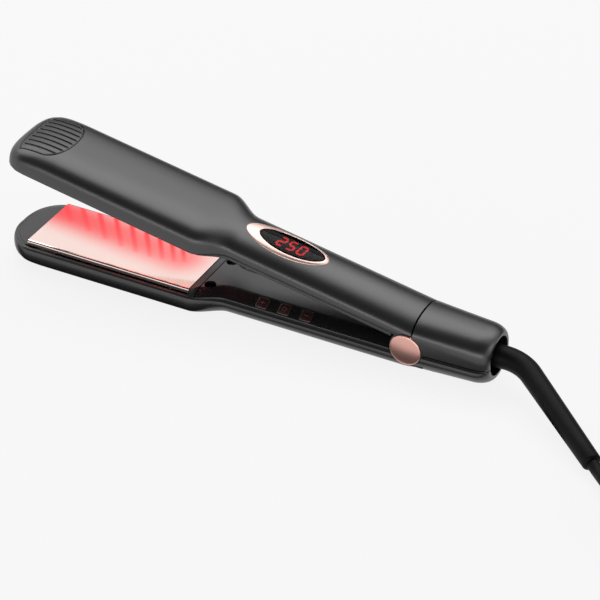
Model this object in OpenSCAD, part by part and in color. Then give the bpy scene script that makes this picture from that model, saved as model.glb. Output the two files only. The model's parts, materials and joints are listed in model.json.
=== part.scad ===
// Hair straightener with wide floating plates, a display, three buttons and a swivel cord.
// Units are millimetres. X runs from the tips to the tail, Y across, Z up.
// Most pieces are drawn about the hinge axis and then moved to their place above the table.

/* [Overall] */
// Length from the tip of the arms to the end of the tail
body_l = 300; // [280:1:330]
// Distance from the hinge axis to the end of the tail
tail_l = 47; // [45:1:54]
// Angle between the arms at rest
open_angle = 10.4; // [8:0.1:12]
// Height of the hinge axis above the table
hinge_h = 16.1; // [15.6:0.1:17.5]
// Height of the plane where the plates meet above the hinge axis
plane_rise = 1; // [0.6:0.1:1.4]
// Wall of the shells
wall = 2; // [1.6:0.1:2.4]

/* [Head] */
// Width of the heads
head_w = 52.4; // [50:0.2:58]
// Length over which the tips round off
tip_round_l = 20; // [16:0.2:30]
// Height of the upper head above the plane of the plates
upper_head_h = 18.6; // [17.5:0.1:21]
// Height of the upper tip above the plane of the plates
upper_tip_h = 9.4; // [8:0.1:13]
// Depth of the lower tip below the plane of the plates
lower_tip_h = 6; // [5.4:0.1:8]
// Length over which the tops and the belly round down to the tips
tip_slope_l = 28.5; // [22:0.5:34]
// Distance between the rims of the heads and the plane of the plates
rim_gap = 3.2; // [2.8:0.1:3.8]

/* [Plates] */
// Length of the heater plates
plate_l = 105; // [95:1:115]
// Width of the heater plates
plate_w = 44.4; // [41:0.2:45]
// Thickness of the heater plates
plate_t = 1.6; // [1.2:0.1:2]
// Depth of the folded edge of the heater plates
plate_lip = 3; // [2.4:0.1:3.6]
// Distance from the tip to the plates
tip_margin = 17.5; // [16:0.5:22]
// Travel of the floating plates into the heads
float_travel = 1; // [0.5:0.1:1.2]
// Length of the slot for the light strip in the upper plate
slot_l = 84; // [80:1:88]
// Width of the slot for the light strip
slot_w = 5; // [4.6:0.1:6]

/* [Handle] */
// Width of the handle
handle_w = 35.8; // [34.5:0.2:39]
// Height of the upper handle above the plane of the plates
upper_handle_h = 17.2; // [16.8:0.1:19]
// Length of the neck between the head and the handle
neck_l = 20.5; // [17:0.5:25]
// Distance between the edges of the handle shells and the plane of the plates
seam_gap = 5.2; // [4.8:0.1:5.8]
// Strip of frame between the plate and the inner cover
strip_l = 4.2; // [3.6:0.1:5]
// Width of the sloping border of the lower inner cover
border_w = 7.8; // [7.4:0.1:8.6]
// Slope of that border
border_slope = 22; // [18:1:24]
// Thickness of the inner covers
cover_t = 1.8; // [1.5:0.1:2.2]

/* [Tail] */
// Width of the tail at its end before it rounds off
tail_w = 32; // [30.5:0.2:35]
// Height of the tail above the plane of the plates at its end
tail_top_h = 14.6; // [14:0.1:16.5]
// Depth of the tail below the plane of the plates at its end
tail_belly_h = 16.2; // [15:0.1:17]
// Length over which the end of the tail rounds off
end_round_l = 9; // [7:0.5:11]
// Radius of the recess in the end of the tail
recess_r = 11.2; // [10.6:0.1:11.6]
// Depth of that recess
recess_d = 9.5; // [8:0.5:11]
// Width of the rim around the recess
recess_rim = 1.1; // [0.9:0.1:1.6]

/* [Hinge] */
// Radius of the hinge pin
pin_r = 3; // [2.6:0.1:3.3]
// Radius of the round caps over the hinge
cap_r = 9.2; // [8.8:0.1:9.8]
// How far the caps stand out from the handle
cap_proud = 0.7; // [0.4:0.1:1.2]
// Radius of the hinge barrel
barrel_r = 9; // [8.6:0.1:9.4]
// Width of the hinge barrel
barrel_w = 26; // [24:0.2:26.6]
// Depth by which the caps sink into the handle
cap_sink = 1.5; // [1.2:0.1:1.8]
// Wire of the opening spring
spring_wire = 1.4; // [1.2:0.1:1.6]
// Number of coils of the opening spring
spring_coils = 8; // [6:1:9]

/* [Display] */
// Length of the display bezel
bezel_l = 50.8; // [48:0.4:54]
// Width of the display bezel
bezel_w = 20.6; // [19.8:0.2:22.4]
// Length of the display lens
lens_l = 39.7; // [37.7:0.5:41.2]
// Width of the display lens
lens_w = 15.8; // [14.6:0.1:16.6]
// Height of the lens above the plane of the plates
lens_h = 18; // [17.8:0.1:19]
// Height of the digits
digit_h = 8.5; // [6.5:0.1:8.8]
// Width of the digits
digit_w = 4.8; // [3.8:0.1:5.2]
// Spacing of the digits
digit_pitch = 6.3; // [5.9:0.1:7]

/* [Buttons] */
// Side of the square buttons
button_w = 6.9; // [6:0.1:7.1]
// Spacing of the buttons
button_pitch = 13.5; // [11:0.1:14.5]
// Distance from the neck to the first button
button_start = 21.5; // [17:0.5:24]
// How far the buttons stand out
button_proud = 0.8; // [0.6:0.1:1]
// Travel of the buttons
button_travel = 0.5; // [0.3:0.1:0.6]

/* [Light strip and grip] */
// Number of red light emitters
emitter_count = 9; // [5:1:9]
// Radius of the emitters
emitter_r = 1.6; // [1.2:0.1:1.7]
// Half width of the ribbed grip panel
grip_half_w = 18.6; // [17:0.2:19]
// Length of the ribbed grip panel
grip_l = 26; // [22:0.5:28]
// Number of grooves in the grip panel
groove_count = 8; // [5:1:9]
// Depth of those grooves
groove_d = 0.8; // [0.5:0.1:1]

/* [Cord] */
// Diameter of the bend protector at the tail
sleeve_d = 12.9; // [11.6:0.1:13.4]
// Diameter of the bend protector at its end
sleeve_end_d = 10.5; // [9.6:0.1:11.2]
// Angle by which the bend protector is bent
sleeve_bend = 39.5; // [34:0.5:46]
// Radius of that bend
sleeve_bend_r = 27; // [22:1:32]
// Length of the bend protector after its bend
sleeve_straight_l = 69.3; // [62:0.1:76]
// Diameter of the mains cord
cord_d = 7; // [6.4:0.1:7]
// Loops in the coil that holds the rest of the cord
coil_turns = 7; // [6:1:8]
// Mean radius of the outermost loop
coil_r = 43; // [41:0.5:45]
// Step from one loop to the next
coil_step = 7.6; // [7.5:0.1:8]
// Thickness of the tie around the coil
tie_t = 0.8; // [0.6:0.1:0.9]

/* [Plug] */
// Length of the plug body
plug_l = 31; // [28:0.5:35]
// Width of the plug body
plug_w = 35.3; // [34.6:0.1:36]
// Thickness of the plug body
plug_t = 13.7; // [13:0.1:14.5]
// Radius of the contact pins
plug_pin_r = 2; // [1.9:0.05:2.1]
// Length of the contact pins
plug_pin_l = 19; // [18.5:0.1:19.5]
// Spacing of the contact pins
plug_pin_pitch = 18.6; // [17.5:0.1:19]

/* [Hidden] */

// Clearance between pieces that move past each other
gap = 0.3;
// Clearance between fixed pieces that fit in each other
fit = 0.15;
// Running clearance of shafts in their bores
run = 0.05;
// Cuts reach this far past a face
over = 1;

// Places along the object, measured from the hinge axis
hinge_x = body_l / 2 - tail_l;
tip_x = tail_l - body_l;
plate_x0 = tip_x + tip_margin;
plate_x1 = plate_x0 + plate_l;
plate_mid_x = (plate_x0 + plate_x1) / 2;
neck_x0 = plate_x1;
neck_x1 = neck_x0 + neck_l;
cover_x0 = plate_x1 + strip_l;
cover_x1 = -barrel_r - 1;
tail_x0 = 4;
belly_h = hinge_h + plane_rise;
cavity_x0 = plate_x0 - 1.5;
recess_x = tail_l - recess_d;
neck_bore_l = 3;
chamber_l = 4.6;
chamber_x0 = recess_x - neck_bore_l - chamber_l;
solid_x = chamber_x0 - 2;
end_r = recess_r + recess_rim;

// Shapes of the outlines and of the cross-sections
tip_p = 3.7;
lower_tip_p = 2;
head_n = 3.7;
handle_n = 2.8;
tail_n = 2.7;
head_belly_n = 3.3;
handle_belly_n = 2.45;
tail_belly_n = 2.1;
belly_flat = 0.3;
no_flat = 100;
edge_h = 2.5;
edge_tuck = 1.2;
tip_lift_l = 4;
nose_t = 1.4;
nose_cut = 0.1;
seam_t = 0.6;
tail_screw_x = 14;
tail_screw_y = 9;
tail_screw_z = belly_h - 4.1;
tail_screw_r = 1.3;
tail_screw_head_r = 2.5;
tail_screw_head_t = 1.5;
tail_post_r = 2.7;
wall_step = 0.3;
outer_m = 16;
inner_m = 8;
ring_m = 40;
ring_sides = 32;
$fn = 48;

// Carriages of the heater plates
plate_face = 0.05;
plate_corner_r = 1.2;
heater_l = 78;
heater_t = 2.4;
insulator_t = 0.3;
clip_t = 0.8;
clip_tab_w = 8;
clip_tab_l = 1.2;
clip_end = 3.5;
clip_x0 = plate_mid_x - heater_l / 2 - clip_end;
clip_x1 = plate_mid_x + heater_l / 2 + clip_end;
heater_z = plate_face + plate_t;
clip_z = heater_z + heater_t + insulator_t;
tray_play = 1.6;
tray_w = plate_w - 2 * plate_t - 2 * tray_play;
thermistor_t = 1;
thermistor_y = tray_w / 2 - clip_t - 2 * fit - thermistor_t;
lower_heater_w = 16;
upper_heater_y0 = slot_w / 2 + 2;
upper_heater_y1 = thermistor_y - 0.4;
upper_heater_w = upper_heater_y1 - upper_heater_y0;
upper_heater_y = (upper_heater_y0 + upper_heater_y1) / 2;
lower_tray_d = 9.5;
upper_tray_d = 10.5;
tray_t = 1.5;
frame_t = 1.2;
frame_inset = 4.5;
spring_x = heater_l / 2 - 1;
spring_y = tray_w / 2 - 6;
spring_r = 3;
spring_coil_wire = 0.9;
emitter_pitch = 9.8;
board_t = 1.2;
light_board_z = 6.5;
emitter_face = 0.8;

// Handle
ramp_l = 6;
screw_x = cover_x0 + 4.3;
screw_y = 12.6;
screw_head_r = 2.4;
screw_head_t = 1.2;
screw_r = 1.2;
screw_l = 7;
lower_screw_z = 3.9;
upper_screw_z = 4.6;
screw_pad = 1.3;
button_z = 1.2;
button_flange = 0.8;
button_flange_t = 0.7;
button_gap = 0.2;
first_button_x = neck_x1 + button_start;
border_y = handle_w / 2 - 0.6 - border_w / 2;
switch_w = 6;
switch_t = 2;
plunger_r = 1.6;
plunger_t = 0.5;
switch_z = button_z + run + button_flange_t + button_travel + run + plunger_t;
main_board_l = 60;
main_board_w = 17;
main_board_x0 = neck_x1 + 5;
main_board_x1 = main_board_x0 + main_board_l;
main_board_y0 = -4.5;
main_board_y1 = main_board_y0 + main_board_w;
main_board_z = 9.8;
main_board_t = 1.6;
terminal_h = 3;
lead_d = 1.6;

// Hinge
cheek_y0 = barrel_w / 2 + gap;
cheek_y1 = handle_w / 2 - cap_sink;
cheek_r = cap_r + 0.7;
bush_r = pin_r + 1.2;
bush_l = 2.6;
barrel_wall = 1.8;
tongue_l = 40;
tongue_w = 24;
tongue_z0 = 5.4;
tongue_z1 = 8.4;
tongue_screws = [-20, -34];
spring_coil_r = 5.2;

// Display, measured along the upper handle
bezel_x = neck_x1 + 25.2;
lens_x = neck_x1 + 28;
bezel_lip = 0.8;
bezel_rise = 0.6;
window_d = 2.6;
lens_t = 1.2;
ledge_t = 0.8;
module_l = 20;
module_w = 9;
module_t = 4;
digit_t = 0.2;
digit_bar = 1.1;
digit_slant = 5;
display_board_l = 42;
display_board_w = 20;

// Grip panel on the upper tip
panel_t = 1.4;
panel_margin = 6;
panel_bow = 12;
groove_pitch = 4.2;
groove_w = 1.6;

// Swivel and cord
collar_r = 8.2;
collar_flange_r = 11;
collar_out = 4.5;
core_r = 6;
core_x0 = 16;
brush_foot_z = belly_h - wall - 1;
slip_ring_t = 0.6;
sleeve_r = sleeve_d / 2;
sleeve_end_r = sleeve_end_d / 2;
sleeve_x0 = recess_x - 3;
sleeve_bend_x = tail_l + 4.2;
sleeve_drop = hinge_h + plane_rise - sleeve_end_r - 0.1;
sleeve_side = sleeve_bend_r * (1 - cos(sleeve_bend)) + sleeve_straight_l * sin(sleeve_bend);
sleeve_roll = asin(sleeve_drop / sleeve_side);
sleeve_end = hinge_place(roll_about_x([
    sleeve_bend_x + sleeve_bend_r * sin(sleeve_bend) + sleeve_straight_l * cos(sleeve_bend),
    -sleeve_side, 0]));
sleeve_way = roll_about_x([cos(sleeve_bend), -sin(sleeve_bend), 0]);
cord_r = cord_d / 2;
coil_centre = [293, -51, 4.4];
coil_start = 230.7;
coil_layers = 4;
loop_m = 24;
loop_sides = 6;
tie_angle = 146;
tie_w = 10;
end_turn = 130;
end_r0 = 8.5;
cord_points = [[236, -59, 5], [246, -68, 4.6], [254, -75, 4.4]];
plug_gap = 28;
plug_neck_l = 9;
plug_neck_w = 10;
plug_root_l = 8;
plug_root_r = plug_pin_r - 0.4;

function limit1(t) = max(0, min(1, t));
function ease(t) = let (u = limit1(t)) u * u * (3 - 2 * u);
function mix(a, b, t) = a + (b - a) * t;
function rounded(u, p) = pow(max(0, 1 - pow(limit1(u), p)), 1 / p);
function between(a, b, n) = [for (k = [0:n]) a + (b - a) * k / n];
function unit(v) = v / norm(v);
function roll_about_x(p) = [p[0],
    p[1] * cos(sleeve_roll) - p[2] * sin(sleeve_roll), p[1] * sin(sleeve_roll) + p[2] * cos(sleeve_roll)];
function hinge_place(p) = p + [hinge_x, 0, hinge_h + plane_rise];

// Half width and heights of the outside, away from the plane of the plates
function neck_t(x) = ease((x - neck_x0) / neck_l);
function tail_t(x) = limit1(x / tail_l);
function tip_t(x, length) = (tip_x + length - max(x, tip_x + nose_cut)) / length;
function end_t(x) = 1 - rounded((x - tail_l + end_round_l) / end_round_l, 2);
function straight_w(x) = x < 0
    ? mix(head_w, handle_w, neck_t(x)) / 2
    : mix(handle_w, tail_w, tail_t(x)) / 2;
function half_w(x, p = tip_p) = straight_w(x) * rounded(tip_t(x, tip_round_l), p);
function top_h(x) = x < 0
    ? mix(upper_tip_h, mix(upper_head_h, upper_handle_h, neck_t(x)), rounded(tip_t(x, tip_slope_l), 2))
    : mix(upper_handle_h, tail_top_h, tail_t(x));
function belly_d(x) = mix(lower_tip_h, mix(belly_h + belly_flat, tail_belly_h, tail_t(x)),
    rounded(tip_t(x, tip_slope_l), 2));
function top_n(x) = x < 0 ? mix(head_n, handle_n, neck_t(x)) : mix(handle_n, tail_n, tail_t(x));
function belly_n(x) = mix(mix(head_belly_n, handle_belly_n, neck_t(x)), tail_belly_n, tail_t(x));
function rim_h(x, nose_h) = mix(rim_gap, seam_gap, neck_t(x))
    + min(edge_h, nose_h - rim_gap - nose_t) * (1 - rounded(1 - (x - tip_x) / tip_lift_l, 2));
function lower_rim(x) = mix(rim_h(x, lower_tip_h), rim_gap, ease((x + 2) / 8));
function shoulder(z0, z1) = z0 + min(edge_h, (z1 - z0) * 0.45);

// Height of the upper surface above the plane of the plates at any point
function upper_surface(x, y) =
    let (zc = shoulder(rim_h(x, upper_tip_h), top_h(x)))
    zc + (top_h(x) - zc) * rounded(abs(y) / half_w(x), top_n(x));

// Cross-section of a shell that opens towards the plane of the plates: z0 is its rim, zc where it
// is widest, z1 its top, n its roundness, deep is false where it is solid, e leads it over to the
// round end of the tail, and p is the roundness of its tip seen from above
function shell_ring(x, z0, zc, z1, n, flat, deep, e = 0, p = tip_p) =
    let (
        w = half_w(x, p),
        wi = mix(w, end_r, e) - wall - edge_tuck * 0.6,
        hi = deep ? min(z1, flat) - wall - z0 : 0.1,
        rise = min(edge_h, zc - z0) * 0.35,
        outer = concat(
            [[w - edge_tuck, -z0], [w - 0.3 * edge_tuck, -(z0 + rise)]],
            [for (k = [0:outer_m]) let (a = 180 * k / outer_m, c = cos(a))
                [w * sign(c) * pow(abs(c), 2 / n),
                    -min(flat, zc + (z1 - zc) * pow(abs(sin(a)), 2 / n))]],
            [[-(w - 0.3 * edge_tuck), -(z0 + rise)], [-(w - edge_tuck), -z0]]
        )
    )
    concat(
        [for (p = outer) let (q = mix(p, end_r * unit(p), e)) [x, q[0], q[1]]],
        [for (k = [0:inner_m]) let (a = 180 * k / inner_m, c = cos(a))
            [x, -wi * sign(c) * pow(abs(c), 2 / n), -(z0 + hi * pow(abs(sin(a)), 2 / n))]]
    );

// Stations along the shells, closer together where they bend
tip_stations = concat([tip_x],
    [for (a = [8:10:88]) tip_x + (cavity_x0 - tip_x) * (1 - cos(a))], [cavity_x0]);
head_stations = [for (t = [0, 0.03, 0.07, 0.12, 0.2, 0.45, 0.75])
    mix(cavity_x0 + wall_step, neck_x0, t)];
neck_stations = between(neck_x0, neck_x1, 6);
tail_stations = concat(between(8, solid_x, 2), [solid_x + wall_step],
    [for (a = [0:15:90]) tail_l - end_round_l * (1 - sin(a))]);
function hollow(x) = x > cavity_x0 + 0.1 && x < solid_x + 0.1;

// Solid through a list of closed rings of equal length. A ring folded back on itself, as in a
// thin wall, names with fold how many of its points come before the fold
module loft(rings, closed = false, fold = 0) {
    n = len(rings[0]);
    m = len(rings);
    last = closed ? m - 1 : m - 2;
    sides = [for (i = [0:last], j = [0:n - 1], t = [0, 1])
        let (a = i * n + j, b = i * n + (j + 1) % n,
            c = ((i + 1) % m) * n + (j + 1) % n, d = ((i + 1) % m) * n + j)
        t == 0 ? [a, b, c] : [a, c, d]];
    cap = fold > 0 ? folded_cap(n, fold) : [[for (j = [0:n - 1]) j]];
    turned = [for (f = cap) [for (j = [len(f) - 1:-1:0]) f[j]]];
    caps = closed ? [] : concat(turned, [for (f = cap) [for (j = f) (m - 1) * n + j]]);
    polyhedron(points = [for (r = rings, p = r) p], faces = concat(sides, caps), convexity = 10);
}
function opposite(i, n, fold) = n - 1 - floor(i * (n - fold - 1) / (fold - 1) + 0.5);
function folded_cap(n, fold) = [for (i = [0:fold - 2], t = [0, 1])
    let (a = opposite(i, n, fold), b = opposite(i + 1, n, fold))
    if (t == 0 || a != b) t == 0 ? [i, i + 1, a] : [i + 1, b, a]];

// Tube along a route, with its end faces square to it
function heading(p, i) = unit(p[min(i + 1, len(p) - 1)] - p[max(i - 1, 0)]);
module tube(p, d, sides = 8) {
    loft([for (i = [0:len(p) - 1])
        let (t = heading(p, i), u = unit(cross([0, 0, 1], t)), v = cross(t, u))
        [for (k = [0:sides - 1])
            p[i] + d / 2 * (v * cos(360 * k / sides) + u * sin(360 * k / sides))]]);
}

module block(x, y, z) {
    translate([x[0], y[0], z[0]]) cube([x[1] - x[0], y[1] - y[0], z[1] - z[0]]);
}
module across(r, y) {
    translate([0, y[0], 0]) rotate([-90, 0, 0]) cylinder(r = r, h = y[1] - y[0]);
}
module along(r, x) {
    translate([x[0], 0, 0]) rotate([0, 90, 0]) cylinder(r = r, h = x[1] - x[0]);
}
module upright(r, z) {
    translate([0, 0, z[0]]) cylinder(r = r, h = z[1] - z[0]);
}
module both_sides() {
    children();
    mirror([0, 1, 0]) children();
}

// Frames in which the plane of the plates is z = 0 and an arm lies below it
module base_frame() { translate([hinge_x, 0, hinge_h + plane_rise]) children(); }
module arm_frame() {
    translate([hinge_x, 0, hinge_h]) rotate([0, open_angle, 0])
        translate([0, 0, plane_rise]) mirror([0, 0, 1]) children();
}
// Frames about the hinge axis
module axis_frame() { translate([hinge_x, 0, hinge_h]) children(); }
module arm_axis_frame() { axis_frame() rotate([0, open_angle, 0]) children(); }
// Frame on the sloping border of the lower cover, with z pointing out of it
module border_frame(x) {
    base_frame() translate([x, -border_y, -border_z]) rotate([border_slope, 0, 0]) children();
}
border_z = plate_face + border_w / 2 * tan(border_slope);

// Shells
module shell_fittings(screw_z) {
    both_sides() translate([screw_x, screw_y, 0])
        upright(3, [-(belly_h - wall - 0.4), -screw_z - screw_pad]);
}
module screw_holes(screw_z) {
    both_sides() translate([screw_x, screw_y, 0]) upright(screw_r + run, [-screw_z - screw_l, 0]);
}
module tip_outline(inset, p) {
    xs = [for (a = [0:12:84]) tip_x + inset + (plate_x0 - gap - tip_x - inset) * (1 - cos(a))];
    stations = concat(xs, [plate_x0 - gap]);
    edge = [for (x = stations) [x, max(2, half_w(x - inset * 0.35, p) - inset * 0.8)]];
    n = len(edge);
    polygon(concat([for (p = edge) p], [for (k = [n - 1:-1:0]) [edge[k][0], -edge[k][1]]]));
}
module tip_pocket(p) {
    translate([0, 0, -rim_gap - frame_t]) linear_extrude(frame_t + 4) tip_outline(frame_inset - fit, p);
}
module swivel_bores() {
    along(recess_r, [recess_x, tail_l + over]);
    along(collar_r + run, [chamber_x0, recess_x + over]);
    along(collar_flange_r + run, [chamber_x0, chamber_x0 + chamber_l]);
    along(core_r + 1.2, [solid_x - over, chamber_x0 + over]);
}

module lower_shell() {
    stations = concat(tip_stations, head_stations, neck_stations, [-60, -14, -2, 1, tail_x0],
        tail_stations);
    color("#3b3c3e") difference() {
        union() {
            base_frame() loft([for (x = stations)
                let (z0 = lower_rim(x), z1 = belly_d(x))
                shell_ring(x, z0, shoulder(z0, z1), z1, belly_n(x), belly_h, hollow(x), end_t(x),
                    lower_tip_p)], fold = outer_m + 5);
            base_frame() shell_fittings(lower_screw_z);
            base_frame() both_sides() translate([tail_screw_x, tail_screw_y, 0])
                upright(tail_post_r, [-tail_screw_z - tail_screw_head_t + 0.2, -rim_gap]);
            base_frame() for (x = [main_board_x0 + 4, main_board_x1 - 4],
                y = [main_board_y0 + 3, main_board_y1 - 3])
                translate([x, y, 0]) upright(1.8, [-(belly_h - wall - 0.1), -main_board_z - main_board_t]);
            base_frame()
                block([core_x0 + 3, core_x0 + 9], [-3, 3], [-(belly_h - wall / 2), -brush_foot_z]);
            for (k = [0.5, 1.5]) border_frame(first_button_x + k * button_pitch)
                block([-1, 1], [-2.5, 2.5], [-12, -switch_z - switch_t - board_t]);
            axis_frame() both_sides() {
                across(cheek_r, [cheek_y0, cheek_y1]);
                block([-cheek_r, cheek_r], [cheek_y0, cheek_y1], [-cheek_r, -4]);
            }
        }
        axis_frame() both_sides() {
            across(pin_r + run, [cheek_y0 - over, cheek_y1 + over]);
            across(cap_r + fit, [cheek_y1, handle_w]);
        }
        base_frame() {
            tip_pocket(lower_tip_p);
            swivel_bores();
            screw_holes(lower_screw_z);
            both_sides() translate([tail_screw_x, tail_screw_y, 0]) {
                upright(tail_screw_r + run, [-belly_h - over, 0]);
                upright(tail_screw_head_r + fit, [-belly_h - over, -tail_screw_z]);
            }
        }
        button_cuts();
    }
}

module tail_cover() {
    stations = concat([tail_x0], tail_stations);
    z0 = seam_t - rim_gap;
    color("#3b3c3e") base_frame() difference() {
        union() {
            mirror([0, 0, 1]) loft([for (x = stations)
                let (z1 = top_h(x), zc = mix(seam_gap + edge_h, 2, tail_t(x)))
                shell_ring(x, z0, zc, z1, top_n(x), no_flat, hollow(x), end_t(x))], fold = outer_m + 5);
            both_sides() translate([tail_screw_x, tail_screw_y, 0])
                upright(tail_post_r, [-rim_gap, upper_handle_h - 4.6]);
        }
        swivel_bores();
        translate([0, 0, -plane_rise]) both_sides() {
            across(cheek_r + fit, [cheek_y0 - gap, cheek_y1]);
            across(cap_r + fit, [cheek_y1 - over, handle_w]);
        }
        both_sides() translate([tail_screw_x, tail_screw_y, 0])
            upright(tail_screw_r + run, [-rim_gap - over, 5]);
    }
}

module tail_screws() {
    color("#8d9094") base_frame() both_sides() translate([tail_screw_x, tail_screw_y, 0]) {
        upright(tail_screw_r, [-tail_screw_z, 4]);
        upright(tail_screw_head_r, [-tail_screw_z - tail_screw_head_t, -tail_screw_z]);
    }
}

module upper_shell() {
    stations = concat(tip_stations, head_stations, neck_stations, [-60, -20, 0, 6]);
    color("#3b3c3e") difference() {
        arm_frame() difference() {
            union() {
                loft([for (x = stations)
                    let (z0 = rim_h(x, upper_tip_h), z1 = top_h(x))
                    shell_ring(x, z0, shoulder(z0, z1), z1, top_n(x), no_flat, hollow(x))],
                    fold = outer_m + 5);
                shell_fittings(upper_screw_z);
                for (x = tongue_screws) translate([x, 0, 0])
                    upright(3.2, [-(upper_handle_h - wall + 0.2), -tongue_z1]);
                for (x = [-1, 1], y = [-1, 1])
                    translate([bezel_x + x * (display_board_l / 2 - 3), y * (display_board_w / 2 - 3), 0])
                        upright(1.8, [-upper_handle_h + 2, -display_board_z - board_t]);
            }
            tip_pocket(tip_p);
            panel_pocket();
            screw_holes(upper_screw_z);
            translate([bezel_x, 0, -upper_handle_h - 4]) linear_extrude(10)
                ellipse2d(bezel_l / 2 - bezel_lip, bezel_w / 2 - bezel_lip);
            for (x = tongue_screws) translate([x, 0, 0]) upright(1.3 + run, [-tongue_z1 - 6, 0]);
            translate([0, 0, plane_rise]) across(cheek_r + gap + 0.1, [-handle_w, handle_w]);
        }
        axis_frame()
            block([tail_x0 - gap, tail_l], [-handle_w, handle_w], [-belly_h, 2 * upper_handle_h]);
    }
}

// Inner covers over the handles: crown is how far their middle rises towards the plane
module inner_cover(crown, screw_z) {
    xs = concat([for (t = [0, 0.35, 0.7, 1]) cover_x0 + t * ramp_l],
        [for (x = [cover_x0 + ramp_l + 3:3:neck_x1 - 1]) x], [neck_x1, -60, cover_x1]);
    difference() {
        union() {
            loft([for (x = xs)
                let (
                    w = half_w(x) - 0.6,
                    w1 = w - border_w,
                    w2 = half_w(x) - wall - 0.6 * edge_tuck - gap,
                    zb = -rim_h(x, lower_tip_h) + 0.1,
                    zl = -rim_gap,
                    t = ease((x - cover_x0) / ramp_l),
                    zt = mix(zl + 0.2, zl + crown, crown > 0.2 ? t : 1)
                )
                [[x, -w, zb], [x, -w, zl], [x, -w1, zt], [x, w1, zt], [x, w, zl], [x, w, zb],
                    [x, w2, zb], [x, w2, zl - cover_t], [x, w1, zt - cover_t],
                    [x, -w1, zt - cover_t], [x, -w2, zl - cover_t], [x, -w2, zb]]], fold = 6);
            both_sides() translate([screw_x, screw_y, 0]) upright(3.9, [-screw_z - screw_pad, -screw_z]);
        }
        both_sides() translate([screw_x, screw_y, 0]) {
            upright(3.4, [-screw_z, over]);
            upright(screw_r + run, [-screw_z - 2 * screw_pad, 0]);
        }
    }
}
module button_cuts() {
    for (k = [0:2]) border_frame(first_button_x + k * button_pitch) {
        clear = button_w / 2 + button_gap;
        block([-clear, clear], [-clear, clear], [-6, 3]);
        block([-clear - button_flange, clear + button_flange], [-clear, clear + 0.6], [-7, -button_z]);
    }
}
module lower_inner_cover() {
    color("#2b2c2e") difference() {
        base_frame() inner_cover(rim_gap - plate_face, lower_screw_z);
        button_cuts();
    }
}
module upper_inner_cover() {
    color("#2b2c2e") arm_frame() inner_cover(0.2, upper_screw_z);
}
module cover_screws(screw_z) {
    color("#6e6f72") both_sides() translate([screw_x, screw_y, 0]) difference() {
        union() {
            upright(screw_head_r, [-screw_z, -screw_z + screw_head_t]);
            upright(screw_r, [-screw_z - screw_l + 0.5, -screw_z]);
        }
        for (a = [0, 90]) rotate(a) block([-1.6, 1.6], [-0.3, 0.3], [-screw_z + 0.5, 0]);
    }
}
module lower_cover_screws() { base_frame() cover_screws(lower_screw_z); }
module upper_cover_screws() { arm_frame() cover_screws(upper_screw_z); }

// Buttons and electronics in the lower handle
module push_button(k) {
    border_frame(first_button_x + k * button_pitch) {
        block([-button_w / 2, button_w / 2], [-button_w / 2, button_w / 2],
            [-button_z - run - button_flange_t, button_proud]);
        block([-button_w / 2 - button_flange + 0.2, button_w / 2 + button_flange - 0.2],
            [-button_w / 2, button_w / 2], [-button_z - run - button_flange_t, -button_z - run]);
    }
}
module plus_button() { color("#6b3f3a") push_button(0); }
module power_button() { color("#6b3f3a") push_button(1); }
module minus_button() { color("#6b3f3a") push_button(2); }
module tact_switches() {
    color("#1c1c1e") for (k = [0:2]) border_frame(first_button_x + k * button_pitch) {
        block([-switch_w / 2, switch_w / 2], [-switch_w / 2, switch_w / 2],
            [-switch_z - switch_t, -switch_z]);
        upright(plunger_r, [-switch_z, -switch_z + plunger_t]);
    }
}
module button_board() {
    color("#2f5d3a") border_frame(first_button_x + button_pitch)
        block([-button_pitch - 6, button_pitch + 6], [-3.3, 3.3],
            [-switch_z - switch_t - board_t, -switch_z - switch_t]);
}
module main_board() {
    color("#2f5d3a") base_frame()
        block([main_board_x0, main_board_x1], [main_board_y0, main_board_y1],
            [-main_board_z - main_board_t, -main_board_z]);
}
// Place on the main board by shares of its length and width
function board_x(t) = mix(main_board_x0, main_board_x1, t);
function board_y(t) = mix(main_board_y0, main_board_y1, t);
module board_part(x, y, h) {
    block([board_x(x[0]), board_x(x[1])], [board_y(y[0]), board_y(y[1])], [0, h]);
}
module board_parts() {
    color("#1f2226") base_frame() translate([0, 0, -main_board_z]) {
        board_part([0.02, 0.12], [0.09, 0.94], terminal_h);
        board_part([0.88, 0.98], [0.03, 0.94], terminal_h);
        board_part([0.18, 0.45], [0.26, 0.91], 5);
        board_part([0.5, 0.65], [0.32, 0.85], 4.4);
        translate([board_x(0.77), board_y(0.62), 0]) upright(3.4, [0, 4.6]);
    }
}
// Leads run from a heater through the window in the end of its frame to a board
window_z = -7.9;
function lead_route(x0, z0, x1, z1, y, y1) = [
    [x0, y, z0], [x0 + 3, y, z0], [x0 + 8, y, mix(z0, window_z, 0.5)], [plate_x1, y, window_z],
    [plate_x1 + 4, y, window_z], [x1 - 8, y1, z1], [x1 - 2, y1, z1], [x1, y1, z1]];
module lower_leads() {
    color("#a33a2e") base_frame() for (y = [[5.5, 4], [7.8, 7.5], [-6, 0]])
        tube(lead_route(plate_mid_x + heater_l / 2, -heater_z - heater_t / 2, main_board_x0 + 1,
            -main_board_z + terminal_h / 2, y[0], y[1]), lead_d);
}
// Shares of the way from the board to the brushes, and heights above the board
supply_route = [[0, terminal_h / 2], [0.13, terminal_h / 2], [0.33, -2.2], [0.59, -2.8], [0.79, -2.8],
    [0.92, -2], [1, 0.6]];
module supply_leads() {
    color("#4a6fa5") base_frame() for (y = [-3, 5.5])
        tube([for (p = supply_route) [mix(main_board_x1 - 1, core_x0 - 1, p[0]), y, p[1] - main_board_z]],
            lead_d);
}

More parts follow.
